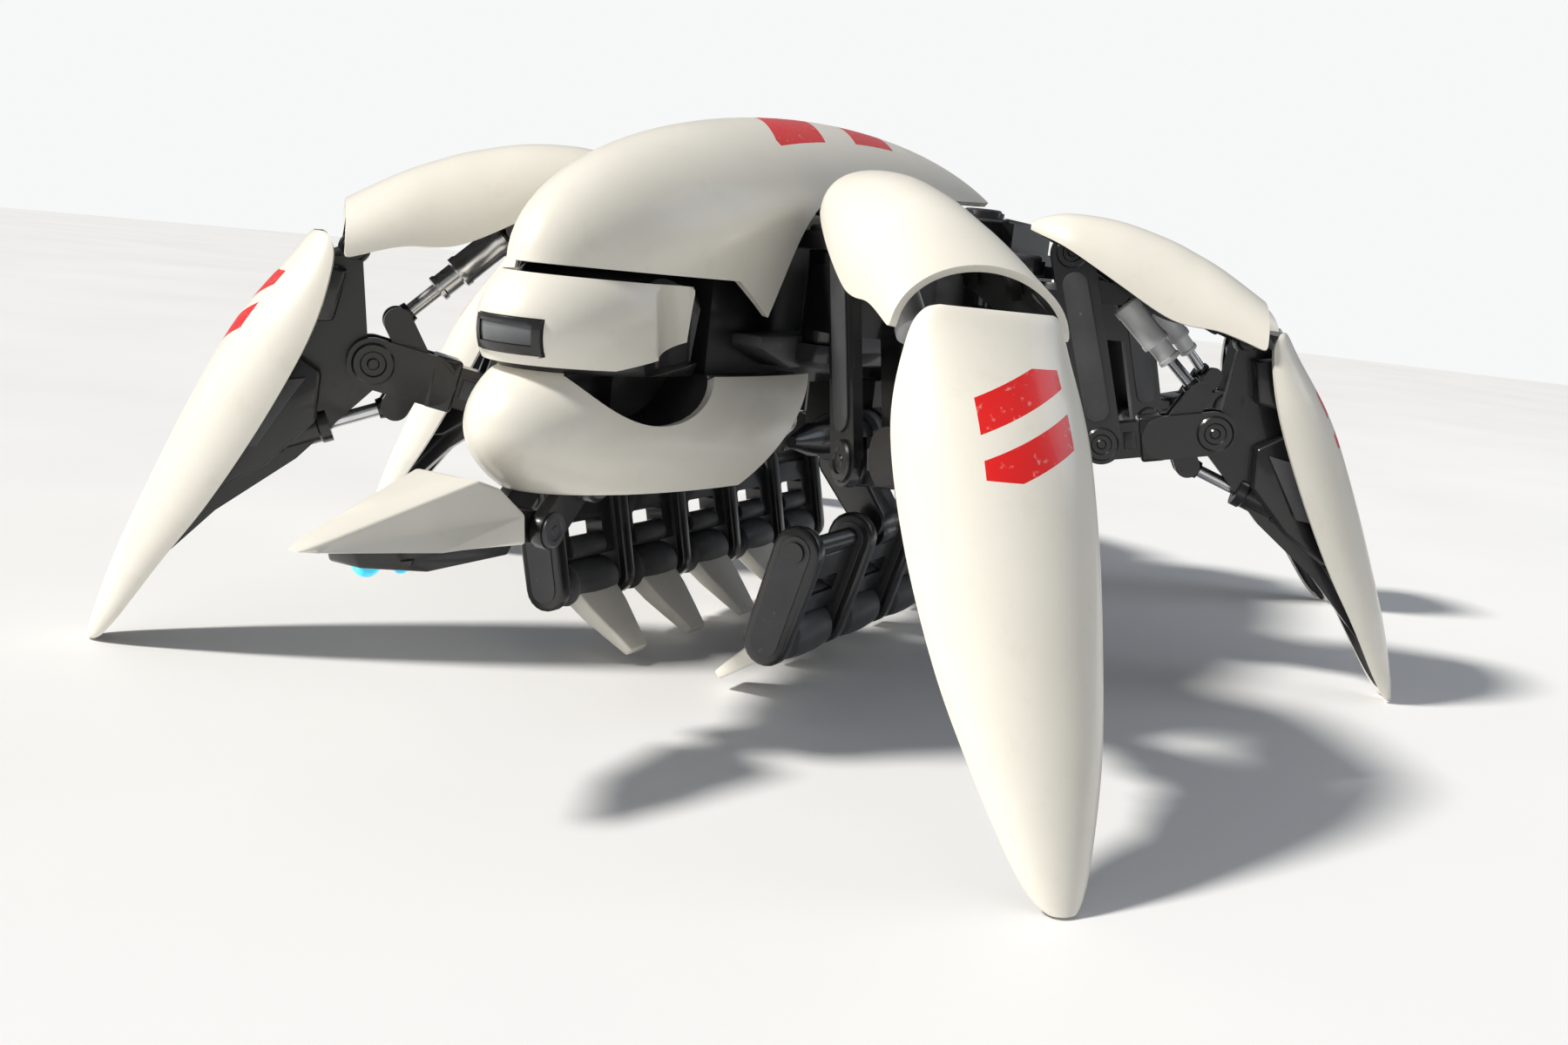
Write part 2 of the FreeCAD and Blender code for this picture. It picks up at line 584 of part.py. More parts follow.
def jaw():
    centre = ("jaw_along", "0", "jaw_mid")
    outer = ovoid("jaw_outer", "jaw_half_long", "jaw_half_wide", "jaw_half_high", centre)
    slab = box("jaw_slab", ("2 * jaw_half_long", "2 * jaw_half_wide", "jaw_high - jaw_low"),
               ("jaw_along - jaw_half_long", "-jaw_half_wide", "jaw_low"))
    inner = ovoid("jaw_inner", "jaw_half_long - jaw_wall", "jaw_half_wide - jaw_wall",
                  "jaw_half_high - jaw_wall", centre)
    room = box("jaw_room_slab", ("2 * jaw_half_long", "2 * jaw_half_wide", "100"),
               ("jaw_along - jaw_half_long", "-jaw_half_wide", "keel_low"))
    tail = box("jaw_tail", ("300", "400", "100"), ("0", "-200", "0"))
    tail.Placement = Placement(Vector(), Rotation(Vector(0, 1, 0), 1))
    bind(tail, "Placement.Rotation.Angle", "tail_slope")
    bind(tail, "Placement.Base.x", "tail_along - 300 * cos(tail_slope) - 100 * sin(tail_slope)")
    bind(tail, "Placement.Base.y", "-200")
    bind(tail, "Placement.Base.z", "jaw_low + 300 * sin(tail_slope) - 100 * cos(tail_slope)")
    hollow = fuse("jaw_hollow", [
        common("jaw_room", inner, room),
        rod("jaw_scoop", "scoop_radius", "400", ("scoop_along", "-200", "scoop_rise"), "Y"),
        tail,
        box("jaw_slot", ("40", "2 * (pod_eye_half + 6)", "20"), ("pod_pivot_along - 29",
                                                             "-pod_eye_half - 6", "jaw_low - 10")),
    ])
    keep(cut("jaw_cut", common("jaw_solid", outer, slab), hollow), "jaw_shell")


def lamp_pod():
    low = val("pod_base")
    rear, nose, top = val("pod_rear"), val("pod_nose"), val("pod_top")
    rise = val("pod_nose_rise")
    outline = [Vector(rear, 0, low + 2), Vector(rear + 34, 0, low), Vector(nose - 6, 0, rise - 5),
               Vector(nose, 0, rise), Vector(rear + 22, 0, top), Vector(rear + 4, 0, top - 4)]
    half = val("pod_half")
    side = Part.Face(Part.makePolygon(outline + [outline[0]])).extrude(Vector(0, 2 * half, 0))
    side.translate(Vector(0, -half, 0))
    plan = [Vector(rear, -half, 0), Vector(rear + 34, -half, 0), Vector(nose, -3, 0), Vector(nose, 3, 0),
            Vector(rear + 34, half, 0), Vector(rear, half, 0)]
    above = Part.Face(Part.makePolygon(plan + [plan[0]])).extrude(Vector(0, 0, 200))
    shell = solid_feature("pod_shell", side.common(above))
    pivot = ("pod_pivot_along", "pod_pivot_rise")
    lenses = []
    for name, back, across, radius in (("main", "26", "0", "lens_radius"),
                                       ("left", "35", "6", "lens_radius / 2"),
                                       ("mid", "38", "0", "lens_radius / 2"),
                                       ("right", "35", "-6", "lens_radius / 2")):
        lenses.append(rod("lens_" + name, radius, "12",
                          ("pod_nose - %s" % back, across, "pod_base + 1"), "X"))
    arm = strap("pod_arm", pivot, ("pod_rear + 6", "pod_pivot_rise + 4"), "pod_eye - 1",
                "-pod_eye_half", "2 * pod_eye_half")
    body = fuse("pod_body", [shell, arm] + lenses)
    keep(cut("pod_cut", body, cross_pin("pod_bore", pivot, "pod_pin + pin_gap", "pod_eye_half + 1")),
         "lamp_pod")


def across(name, start, end, radius, x_low, wide):
    """An oblong plate that stands across the robot, round two points given as (side, height)."""
    angle = "atan2(%s - (%s); %s - (%s))" % (end[1], start[1], end[0], start[0])
    bar = doc.addObject("Part::Box", name + "_bar")
    bind(bar, "Length", wide)
    bind(bar, "Width", "sqrt((%s - (%s))^2 + (%s - (%s))^2)" % (end[0], start[0], end[1], start[1]))
    bind(bar, "Height", "2 * (%s)" % radius)
    bar.Placement = Placement(Vector(), Rotation(Vector(1, 0, 0), 1))
    bind(bar, "Placement.Rotation.Angle", angle)
    bind(bar, "Placement.Base.x", x_low)
    bind(bar, "Placement.Base.y", "%s + (%s) * sin(%s)" % (start[0], radius, angle))
    bind(bar, "Placement.Base.z", "%s - (%s) * cos(%s)" % (start[1], radius, angle))
    return [
        rod(name + "_a", radius, wide, (x_low, start[0], start[1]), "X"),
        rod(name + "_b", radius, wide, (x_low, end[0], end[1]), "X"),
        bar,
    ]


def hand(side, sign):
    def y(text):
        return text if sign > 0 else "-(%s)" % text

    shoulder = (y("shoulder_side"), "shoulder_rise")
    elbow = (y("elbow_side"), "elbow_rise")
    knuckle = (y("knuckle_side"), "knuckle_rise")
    hand_low = "hand_along - 2.5 * finger_pitch - plate_thick / 2"
    hand_long = "5 * finger_pitch + plate_thick"

    arm = [
        rod(side + "_shoulder_tube", "shoulder_radius", "shoulder_front - shoulder_rear",
            ("shoulder_rear", shoulder[0], shoulder[1]), "X"),
        cone(side + "_shoulder_cone", "shoulder_radius", "2", "shoulder_cone",
             ("shoulder_front", shoulder[0], shoulder[1]), "X"),
        rod(side + "_elbow_shaft", "elbow_pin", hand_long + " + 4",
            (hand_low + " - 2", elbow[0], elbow[1]), "X"),
    ]
    for i, where in enumerate(("-", "+")):
        arm += across("%s_forearm_%d" % (side, i), shoulder, elbow, "6",
                      "hand_along %s forearm_pitch / 2 - forearm_wide / 2" % where, "forearm_wide")
    keep(fuse(side + "_arm_all", arm), side + "_arm")

    plates = []
    for i in range(6):
        plates += across("%s_plate_%d" % (side, i), elbow, knuckle, "plate_radius",
                         "hand_along + %s * finger_pitch - plate_thick / 2" % (i - 2.5), "plate_thick")
    plates.append(rod(side + "_knuckle_shaft", "knuckle_pin", hand_long,
                      (hand_low, knuckle[0], knuckle[1]), "X"))
    middle = ("(%s + %s) / 2" % (elbow[0], knuckle[0]), "(elbow_rise + knuckle_rise) / 2 - 1")
    plates.append(rod(side + "_palm_bar", "4", hand_long, (hand_low,) + middle, "X"))
    palm = fuse(side + "_palm_solid", plates)
    keep(cut(side + "_palm_cut", palm,
             rod(side + "_palm_bore", "elbow_pin + pin_gap", hand_long + " + 2",
                 (hand_low + " - 1", elbow[0], elbow[1]), "X")), side + "_palm")

    claws = []
    inward = -sign
    hub_y, hub_z = sign * val("knuckle_side"), val("knuckle_rise")
    tip_y, tip_z = sign * val("claw_tip_side"), val("claw_tip_rise")
    for i in range(5):
        middle_x = val("hand_along") + (i - 2) * val("finger_pitch")
        wires = []
        for t, thick, wide in ((0.0, 9.0, val("claw_wide")), (0.45, 7.0, val("claw_wide") * 0.8),
                               (1.0, 2.4, val("claw_tip_wide"))):
            sag = 2.0 * math.sin(math.pi * t)
            y0 = hub_y + (tip_y - hub_y) * t
            z0 = hub_z + (tip_z - hub_z) * t - sag
            wires.append(Part.makePolygon([
                Vector(middle_x + u * wide / 2, y0 + inward * v * thick * 0.5, z0 + v * thick * 0.5)
                for u, v in ((-1, -1), (1, -1), (1, 1), (-1, 1), (-1, -1))]))
        claws.append(solid_feature("%s_blade_%d" % (side, i), Part.makeLoft(wires, True, False)))
        claws.append(rod("%s_claw_hub_%d" % (side, i), "claw_hub", "finger_pitch - plate_thick - 2 * side_gap",
                         ("hand_along + %s * finger_pitch + plate_thick / 2 + side_gap" % (i - 2.5),
                          knuckle[0], knuckle[1]), "X"))
    body = fuse(side + "_claws_solid", claws)
    keep(cut(side + "_claws_cut", body,
             rod(side + "_claws_bore", "knuckle_pin + pin_gap", hand_long,
                 (hand_low, knuckle[0], knuckle[1]), "X")), side + "_claws")


build_legs()
chassis()
carapace()
head()
jaw()
lamp_pod()
for hand_side, hand_sign in SIDES.items():
    hand(hand_side, hand_sign)

doc.recompute()
faults = [obj.Label for obj in doc.Objects if "Invalid" in obj.State or "Error" in obj.State]
faults += [obj.Label for obj in nodes if obj.Shape.isNull() or not obj.Shape.isValid()]
if faults:
    raise RuntimeError("these did not build: " + ", ".join(sorted(set(faults))))
os.makedirs("parts", exist_ok=True)
for obj in nodes:
    obj.Shape.exportStep("parts/" + obj.Label + ".step")
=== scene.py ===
import json
import math

import bmesh
import bpy
from mathutils import Matrix, Vector


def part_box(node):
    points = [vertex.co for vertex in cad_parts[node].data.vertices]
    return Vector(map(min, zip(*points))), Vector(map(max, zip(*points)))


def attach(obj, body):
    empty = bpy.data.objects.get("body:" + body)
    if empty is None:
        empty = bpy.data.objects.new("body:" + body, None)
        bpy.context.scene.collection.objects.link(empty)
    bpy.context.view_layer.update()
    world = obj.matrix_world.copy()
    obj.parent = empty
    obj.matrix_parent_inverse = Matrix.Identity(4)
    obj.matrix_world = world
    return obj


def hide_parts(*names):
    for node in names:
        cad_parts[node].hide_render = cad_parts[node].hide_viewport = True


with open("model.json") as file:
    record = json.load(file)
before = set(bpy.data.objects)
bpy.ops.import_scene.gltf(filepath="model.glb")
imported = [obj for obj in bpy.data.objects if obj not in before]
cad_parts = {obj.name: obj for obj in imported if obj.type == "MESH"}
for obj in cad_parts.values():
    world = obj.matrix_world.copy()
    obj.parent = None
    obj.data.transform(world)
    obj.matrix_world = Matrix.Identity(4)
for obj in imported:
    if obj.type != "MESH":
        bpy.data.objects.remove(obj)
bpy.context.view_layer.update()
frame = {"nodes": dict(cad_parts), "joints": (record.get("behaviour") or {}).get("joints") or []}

# A six-legged walking robot. Pieces are worked out in millimetres and made in metres. A leg's
# pieces are worked out in the leg's own frame, where +X points outward from the hip's upright
# axis, and are then set at each of the six hips.

MM = 0.001
HIPS = ("front_left", "front_right", "mid_left", "mid_right", "rear_left", "rear_right")
SIDES = {"left": 1, "right": -1}
FAR = 500    # past every part of the robot
joints = {joint["name"]: joint for joint in frame["joints"]}


# ---------------------------------------------------------------- shader writing

# the Mix node's sockets when it mixes colours
MIX_SHARE, MIX_FIRST, MIX_SECOND, MIX_RESULT = 0, 6, 7, 2


class Wire:
    """One output socket, with the arithmetic that shader expressions use."""

    def __init__(self, paint, socket):
        self.paint = paint
        self.socket = socket

    def maths(self, operation, *values):
        return self.paint.node("ShaderNodeMath", {"operation": operation}, values)

    def __add__(self, other):
        return self.maths("ADD", self, other)

    def __sub__(self, other):
        return self.maths("SUBTRACT", self, other)

    def __rsub__(self, other):
        return self.maths("SUBTRACT", other, self)

    def __mul__(self, other):
        return self.maths("MULTIPLY", self, other)

    def __lt__(self, other):
        return self.maths("LESS_THAN", self, other)

    def __abs__(self):
        return self.maths("ABSOLUTE", self)

    __radd__ = __add__
    __rmul__ = __mul__


class Paint:
    """A material, and the nodes that are written into it."""

    def __init__(self, name, **shader_values):
        self.material = bpy.data.materials.new(name)
        self.material.use_nodes = True
        self.tree = self.material.node_tree
        self.shader = self.tree.nodes["Principled BSDF"]
        self.feed(**shader_values)

    def node(self, kind, settings=None, inputs=(), output=0):
        """Add a node, set it up, fill its sockets in order or by name, and return one output."""
        made = self.tree.nodes.new(kind)
        for key, value in (settings or {}).items():
            if key == "stops":
                self.set_stops(made.color_ramp, value)
            else:
                setattr(made, key, value)
        pairs = inputs.items() if isinstance(inputs, dict) else enumerate(inputs)
        for key, value in pairs:
            self.join(value, made.inputs[key])
        return Wire(self, made.outputs[output])

    def join(self, value, socket):
        if isinstance(value, Wire):
            self.tree.links.new(value.socket, socket)
        else:
            socket.default_value = value

    def set_stops(self, ramp, stops):
        while len(ramp.elements) < len(stops):
            ramp.elements.new(0.5)
        for element, (place, colour) in zip(ramp.elements, stops):
            element.position = place
            element.color = (*colour, 1.0)

    def feed(self, **sockets):
        for word, value in sockets.items():
            label = word.replace("_", " ").title().replace("Ior", "IOR")
            self.join(value, self.shader.inputs[label])

    def where(self, stretch=(1, 1, 1), uv=False):
        """The surface's place, stretched: Object coordinates, or the piece's own UV map."""
        place = self.node("ShaderNodeTexCoord", output="UV" if uv else "Object")
        return self.node("ShaderNodeMapping", None, {"Vector": place, "Scale": stretch})

    def noise(self, scale, detail=3.0, rough=0.55, stretch=(1, 1, 1)):
        return self.node("ShaderNodeTexNoise", None, {
            "Vector": self.where(stretch), "Scale": scale, "Detail": detail, "Roughness": rough})

    def ramp(self, value, stops):
        return self.node("ShaderNodeValToRGB", {"stops": stops}, [value])

    def window(self, value, low, high):
        """0 below low, 1 above high, and smooth between."""
        return self.node("ShaderNodeMapRange", {"interpolation_type": "SMOOTHSTEP"},
                         {"Value": value, "From Min": low, "From Max": high})

    def blend(self, amount, first, second):
        made = self.tree.nodes.new("ShaderNodeMix")
        made.data_type = "RGBA"
        self.join(amount, made.inputs[MIX_SHARE])
        for index, colour in ((MIX_FIRST, first), (MIX_SECOND, second)):
            self.join(colour if isinstance(colour, Wire) else (*colour, 1.0), made.inputs[index])
        return Wire(self, made.outputs[MIX_RESULT])

    def bumps(self, height, depth, strength):
        return self.node("ShaderNodeBump", None, {
            "Height": height, "Distance": depth, "Strength": strength})


def marks(paint, middle, reach, pitch, bar_half, lean, uv=False):
    """1 inside two plain slanted bars, which lie along the crest or across the shin's face."""
    split = paint.node("ShaderNodeSeparateXYZ", None, [paint.where(uv=uv)]).socket.node
    run, side = (Wire(paint, split.outputs[axis]) for axis in ("YX" if uv else "XY"))
    inside = (abs(run - middle) < reach[0]) * (abs(side) < reach[1])
    return (abs(abs(run - middle - side * lean) - pitch / 2) < bar_half) * inside


MARKS = {
    "crest": {"middle": 0.040, "reach": (0.066, 0.021), "pitch": 0.062, "bar_half": 0.018,
              "lean": 0.9},
    "face": {"middle": 0.119, "reach": (0.0145, 0.0145), "pitch": 0.0155, "bar_half": 0.0046,
             "lean": 0.45, "uv": True},
}


def shell_paint(name, mark=None):
    """Cream semi-gloss moulding with faint mottling, handling dust and fine scratches."""
    paint = Paint(name, specular_ior_level=0.5, coat_roughness=0.12)
    cloud = paint.noise(14, 4, 0.6)
    dust = paint.window(paint.noise(90, 6, 0.7), 0.52, 0.74)
    scratch = paint.window(paint.noise(240, 2, 0.5, (1, 0.06, 0.35)), 0.66, 0.72)
    colour = paint.ramp(cloud, [(0.25, (0.80, 0.765, 0.675)), (0.75, (0.865, 0.835, 0.755))])
    colour = paint.blend(dust * 0.22, colour, (0.62, 0.58, 0.50))
    if mark:
        worn = 1 - paint.window(paint.noise(420, 3, 0.6), 0.60, 0.70) * 0.25
        shade = paint.ramp(cloud, [(0.3, (0.68, 0.006, 0.006)), (0.7, (0.80, 0.015, 0.012))])
        colour = paint.blend(marks(paint, **MARKS[mark]) * worn, colour, shade)
    fine = paint.noise(900, 2)
    paint.feed(base_color=colour, roughness=0.30 + cloud * 0.10 + dust * 0.16 - scratch * 0.05,
               coat_weight=0.35 - dust * 0.25,
               normal=paint.bumps(fine * 0.4 + scratch * 0.6, 0.00006, 0.35))
    return paint.material


def black_paint(name, low=(0.006, 0.006, 0.0065), high=(0.014, 0.014, 0.015), rough=0.24):
    """Glossy black moulding with smears and a little dust."""
    paint = Paint(name, coat_roughness=0.08)
    smear = paint.noise(22, 5, 0.6, (1, 1, 0.4))
    dust = paint.window(paint.noise(160, 6, 0.75), 0.56, 0.76)
    colour = paint.ramp(smear, [(0.3, low), (0.7, high)])
    colour = paint.blend(dust * 0.08, colour, (0.16, 0.155, 0.15))
    paint.feed(base_color=colour, roughness=rough + smear * 0.14 + dust * 0.2,
               coat_weight=0.4 - dust * 0.3,
               normal=paint.bumps(paint.noise(700, 3), 0.00008, 0.3))
    return paint.material


def grey_paint():
    """Satin grey moulding with a fine grain and a few rubbed spots."""
    paint = Paint("satin_grey")
    cloud = paint.noise(30, 5, 0.6)
    rubbed = paint.window(paint.noise(260, 4, 0.7), 0.66, 0.72)
    colour = paint.ramp(cloud, [(0.3, (0.050, 0.051, 0.055)), (0.7, (0.085, 0.086, 0.092))])
    paint.feed(base_color=paint.blend(rubbed * 0.5, colour, (0.30, 0.30, 0.31)),
               metallic=0.15 + rubbed * 0.5, roughness=0.36 + cloud * 0.16,
               normal=paint.bumps(paint.noise(1100, 3), 0.0001, 0.4))
    return paint.material


def steel_paint():
    """Polished rod with drawn lines and a haze of oil."""
    paint = Paint("bright_steel")
    lines = paint.noise(500, 2, 0.5, (1, 1, 0.05))
    haze = paint.noise(45, 4, 0.6)
    colour = paint.ramp(haze, [(0.3, (0.60, 0.60, 0.62)), (0.75, (0.82, 0.82, 0.83))])
    paint.feed(base_color=colour, metallic=0.9 + haze * 0.1,
               roughness=0.14 + haze * 0.16 + lines * 0.06,
               normal=paint.bumps(lines, 0.00004, 0.4))
    return paint.material


def cylinder_paint():
    """Pale enamel on the ram sleeves."""
    paint = Paint("ram_enamel", coat_roughness=0.1)
    cloud = paint.noise(60, 4, 0.6)
    grime = paint.window(paint.noise(130, 6, 0.75), 0.54, 0.72)
    colour = paint.ramp(cloud, [(0.3, (0.66, 0.665, 0.66)), (0.7, (0.76, 0.765, 0.76))])
    paint.feed(base_color=paint.blend(grime * 0.3, colour, (0.34, 0.33, 0.31)),
               roughness=0.24 + cloud * 0.12 + grime * 0.2, coat_weight=0.4 - grime * 0.3,
               normal=paint.bumps(paint.noise(800, 2), 0.00006, 0.3))
    return paint.material


def visor_paint():
    """Smoked gloss pane with a painted reflection: its colour is lighter towards its top edge."""
    paint = Paint("smoked_pane", coat_roughness=0.04)
    height = paint.node("ShaderNodeSeparateXYZ", None, [paint.where()], "Z")
    low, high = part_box("visor")
    # painted reflection: 0 at the pane's bottom edge and 1 at its top edge, where it would catch
    # the light from above
    rise = paint.window(height, low.z, high.z)
    smear = paint.noise(120, 4)
    # painted reflection: dark smoke at the bottom, lighter grey towards the top
    colour = paint.ramp(rise, [(0.1, (0.035, 0.037, 0.042)), (0.9, (0.15, 0.155, 0.165))])
    paint.feed(base_color=colour, roughness=0.07 + smear * 0.1, coat_weight=0.8 - smear * 0.2,
               normal=paint.bumps(smear, 0.00003, 0.2))
    return paint.material


def lens_paint():
    """Lit cyan lens, brighter in patches."""
    paint = Paint("lit_lens", emission_strength=0.9, coat_roughness=0.03)
    cloud = paint.noise(160, 3)
    glow = paint.ramp(cloud, [(0.35, (0.0, 0.26, 0.42)), (0.6, (0.02, 0.62, 0.80)),
                              (0.8, (0.45, 0.95, 1.0))])
    paint.feed(base_color=glow, emission_color=glow, roughness=0.05 + cloud * 0.06,
               coat_weight=0.9 - cloud * 0.2, normal=paint.bumps(cloud, 0.00003, 0.2))
    return paint.material


def floor_paint():
    """Matt pale floor with the faintest clouding."""
    paint = Paint("pale_floor")
    cloud = paint.noise(3, 4)
    paint.feed(base_color=paint.ramp(cloud, [(0.3, (0.85, 0.85, 0.86)), (0.7, (0.88, 0.88, 0.88))]),
               roughness=0.5 + cloud * 0.2)
    return paint.material


CREAM = shell_paint("cream_shell")
CREST = shell_paint("cream_crest", "crest")
FACE = shell_paint("cream_shin", "face")
BLACK = black_paint("gloss_black")
# painted shade: a dark matt colour for the inner faces of the cream shells, where shade falls
# inside them
PAINTED_SHADE_INSIDE = black_paint("shell_inside_painted_shade", (0.016, 0.016, 0.017), (0.035, 0.034, 0.033), 0.5)
GREY = grey_paint()
STEEL = steel_paint()
ENAMEL = cylinder_paint()
PANE = visor_paint()
LENS = lens_paint()


# ---------------------------------------------------------------- shapes, in millimetres

def block(low, high):
    """A box between two corners."""
    bm = bmesh.new()
    bmesh.ops.create_cube(bm, size=1)
    low, high = Vector(low), Vector(high)
    bmesh.ops.scale(bm, vec=high - low, verts=bm.verts)
    bmesh.ops.translate(bm, vec=(low + high) / 2, verts=bm.verts)
    return bm


def aimed(start, end):
    """The turn that points +Z from start to end."""
    return (end - start).to_track_quat("Z", "Y").to_matrix().to_4x4()


def bar(radius, start, end, radius_end=None, sides=40):
    """A round bar or cone between two points."""
    bm = bmesh.new()
    start, end = Vector(start), Vector(end)
    bmesh.ops.create_cone(bm, cap_ends=True, segments=sides, radius1=radius,
                          radius2=radius if radius_end is None else radius_end,
                          depth=(end - start).length)
    lay = Matrix.Translation((start + end) / 2) @ aimed(start, end)
    bmesh.ops.transform(bm, matrix=lay, verts=bm.verts)
    return bm


def ball(centre, halves, rings=24):
    """An ovoid from its centre and its half sizes."""
    bm = bmesh.new()
    bmesh.ops.create_uvsphere(bm, u_segments=2 * rings, v_segments=rings, radius=1)
    bmesh.ops.scale(bm, vec=halves, verts=bm.verts)
    bmesh.ops.translate(bm, vec=centre, verts=bm.verts)
    return bm


def plate(outline, y_low, y_high):
    """A flat plate from an outline in the upright plane."""
    bm = bmesh.new()
    face = bm.faces.new([bm.verts.new((x, y_low, z)) for x, z in outline])
    grown = bmesh.ops.extrude_face_region(bm, geom=[face])
    moved = [item for item in grown["geom"] if isinstance(item, bmesh.types.BMVert)]
    bmesh.ops.translate(bm, vec=(0, y_high - y_low, 0), verts=moved)
    bmesh.ops.recalc_face_normals(bm, faces=bm.faces)
    return bm


def round_ended(first, last, r_first, r_last, steps=10):
    """The outline of a link with a round end about each of two flat points."""
    lean = math.atan2(last[1] - first[1], last[0] - first[0])
    ends = ((last, lean - math.pi / 2, r_last), (first, lean + math.pi / 2, r_first))
    outline = []
    for (across, high), start, radius in ends:
        for i in range(steps + 1):
            angle = start + math.pi * i / steps
            outline.append((across + radius * math.cos(angle), high + radius * math.sin(angle)))
    return outline


def oblong(start, end, radius, y_low, y_high):
    """A plate with round ends about two points of the upright plane."""
    return plate(round_ended(start, end, radius, radius, 12), y_low, y_high)


def turned(profile, start, end, steps=40):
    """A lathe shape from (distance, radius) pairs along the line from start to end."""
    bm = bmesh.new()
    rim = [bm.verts.new((0, radius, along)) for along, radius in profile]
    edges = [bm.edges.new(pair) for pair in zip(rim, rim[1:])]
    bmesh.ops.spin(bm, geom=rim + edges, axis=(0, 0, 1), cent=(0, 0, 0), angle=math.tau,
                   steps=steps, use_merge=True)
    bmesh.ops.remove_doubles(bm, verts=bm.verts, dist=0.001)
    bmesh.ops.recalc_face_normals(bm, faces=bm.faces)
    start, end = Vector(start), Vector(end)
    lay = Matrix.Translation(start) @ aimed(start, end)
    bmesh.ops.transform(bm, matrix=lay, verts=bm.verts)
    return bm


def join(*shapes):
    """Put several shapes in one."""
    first = shapes[0]
    for other in shapes[1:]:
        mesh = bpy.data.meshes.new("part")
        other.to_mesh(mesh)
        other.free()
        first.from_mesh(mesh)
        bpy.data.meshes.remove(mesh)
    return first


def eased(bm, width, segments=2, angle=30):
    """Round the sharp edges of a shape."""
    sharp = [edge for edge in bm.edges
             if len(edge.link_faces) == 2 and edge.calc_face_angle() > math.radians(angle)]
    bmesh.ops.bevel(bm, geom=sharp, offset=width, segments=segments, profile=0.5,
                    affect="EDGES", material=-1, clamp_overlap=True)
    return bm


def both_sides(bm):
    """The shape and its mirror image across the middle plane."""
    bmesh.ops.mirror(bm, geom=bm.verts[:] + bm.edges[:] + bm.faces[:], axis="Y", merge_dist=-1)
    bmesh.ops.recalc_face_normals(bm, faces=bm.faces)
    return bm


def carved(bm, operation, *tools):
    """Cut tools out of a shape, or keep what it shares with them."""
    work = bpy.data.objects.new("work", bpy.data.meshes.new("work"))
    bm.to_mesh(work.data)
    bm.free()
    bpy.context.scene.collection.objects.link(work)
    spare = [work]
    for tool in tools:
        cutter = bpy.data.objects.new("cutter", bpy.data.meshes.new("cutter"))
        tool.to_mesh(cutter.data)
        tool.free()
        bpy.context.scene.collection.objects.link(cutter)
        spare.append(cutter)
        modifier = work.modifiers.new("cut", "BOOLEAN")
        modifier.operation = operation
        modifier.solver = "EXACT"
        modifier.object = cutter
    graph = bpy.context.evaluated_depsgraph_get()
    result = bmesh.new()
    result.from_mesh(work.evaluated_get(graph).to_mesh())
    for item in spare:
        mesh = item.data
        bpy.data.objects.remove(item)
        bpy.data.meshes.remove(mesh)
    return result


def skinned(bm, keep):
    """Leave only the faces whose middles pass the test."""
    lost = [face for face in bm.faces if not keep(face.calc_center_median())]
    bmesh.ops.delete(bm, geom=lost, context="FACES")
    return bm


def on_ovoid(centre, halves):
    """A test for points on an ovoid's skin."""
    slack = 0.008

    def test(point):
        reach = sum(((p - c) / h) ** 2 for p, c, h in zip(point, centre, halves))
        return abs(reach - 1) < slack
    return test


def between(stations, steps):
    """More stations along a smooth line through the given ones."""
    result = []
    last = len(stations) - 1
    for i in range(last):
        before, start, end, after = (stations[max(0, min(last, i + k))] for k in (-1, 0, 1, 2))
        for step in range(steps):
            t = step / steps
            result.append(tuple(
                0.5 * (2 * b + (c - a) * t + (2 * a - 5 * b + 4 * c - d) * t ** 2
                       + (3 * b - a - 3 * c + d) * t ** 3)
                for a, b, c, d in zip(before, start, end, after)))
    return result + [stations[-1]]


def trough(stations, upright, steps=4, arc=18):
    """A half pipe through stations of (along, crown, half width, drop)."""
    bm = bmesh.new()
    first = bm.verts.new((0, -1, 0))
    bmesh.ops.spin(bm, geom=[first], axis=(1, 0, 0), cent=(0, 0, 0), angle=-math.pi, steps=arc)
    rows = between(stations, steps)
    edges = bm.edges[:]
    layers = [bm.verts[:]]
    for _ in rows[1:]:
        grown = bmesh.ops.extrude_edge_only(bm, edges=edges)["geom"]
        row = [item for item in grown if isinstance(item, bmesh.types.BMVert)]
        edges = [edge for edge in grown if isinstance(edge, bmesh.types.BMEdge)
                 and all(vert in row for vert in edge.verts)]
        layers.append(row)
    for verts, (along, crown, half, drop) in zip(layers, rows):
        rise, run = (0, 0, drop, crown - drop), (0, 0, 0, along)
        top, foot = (rise, run) if upright else (run, rise)
        matrix = Matrix((top, (0, half, 0, 0), foot, (0, 0, 0, 1)))
        bmesh.ops.transform(bm, matrix=matrix, verts=verts)
    bmesh.ops.recalc_face_normals(bm, faces=bm.faces)
    outward = Vector((1, 0, 0.3)) if upright else Vector((0.1, 0, 1))
    if sum(face.normal.dot(outward) for face in bm.faces) < 0:
        bmesh.ops.reverse_faces(bm, faces=bm.faces)
    return bm


def face_map(mesh):
    """A UV map that looks at the piece from straight ahead, in metres."""
    layer = mesh.uv_layers.new(name="face")
    for loop in mesh.loops:
        spot = mesh.vertices[loop.vertex_index].co
        layer.data[loop.index].uv = (spot.y * MM, spot.z * MM)


# ---------------------------------------------------------------- making pieces

# how close points are merged, and from what angle an edge counts as a corner
WELD = 0.0005
CREASE = math.radians(38)
RIM_ANGLE = math.radians(50)
NODE_WELD = 0.02
NODE_ANGLE = math.radians(35)


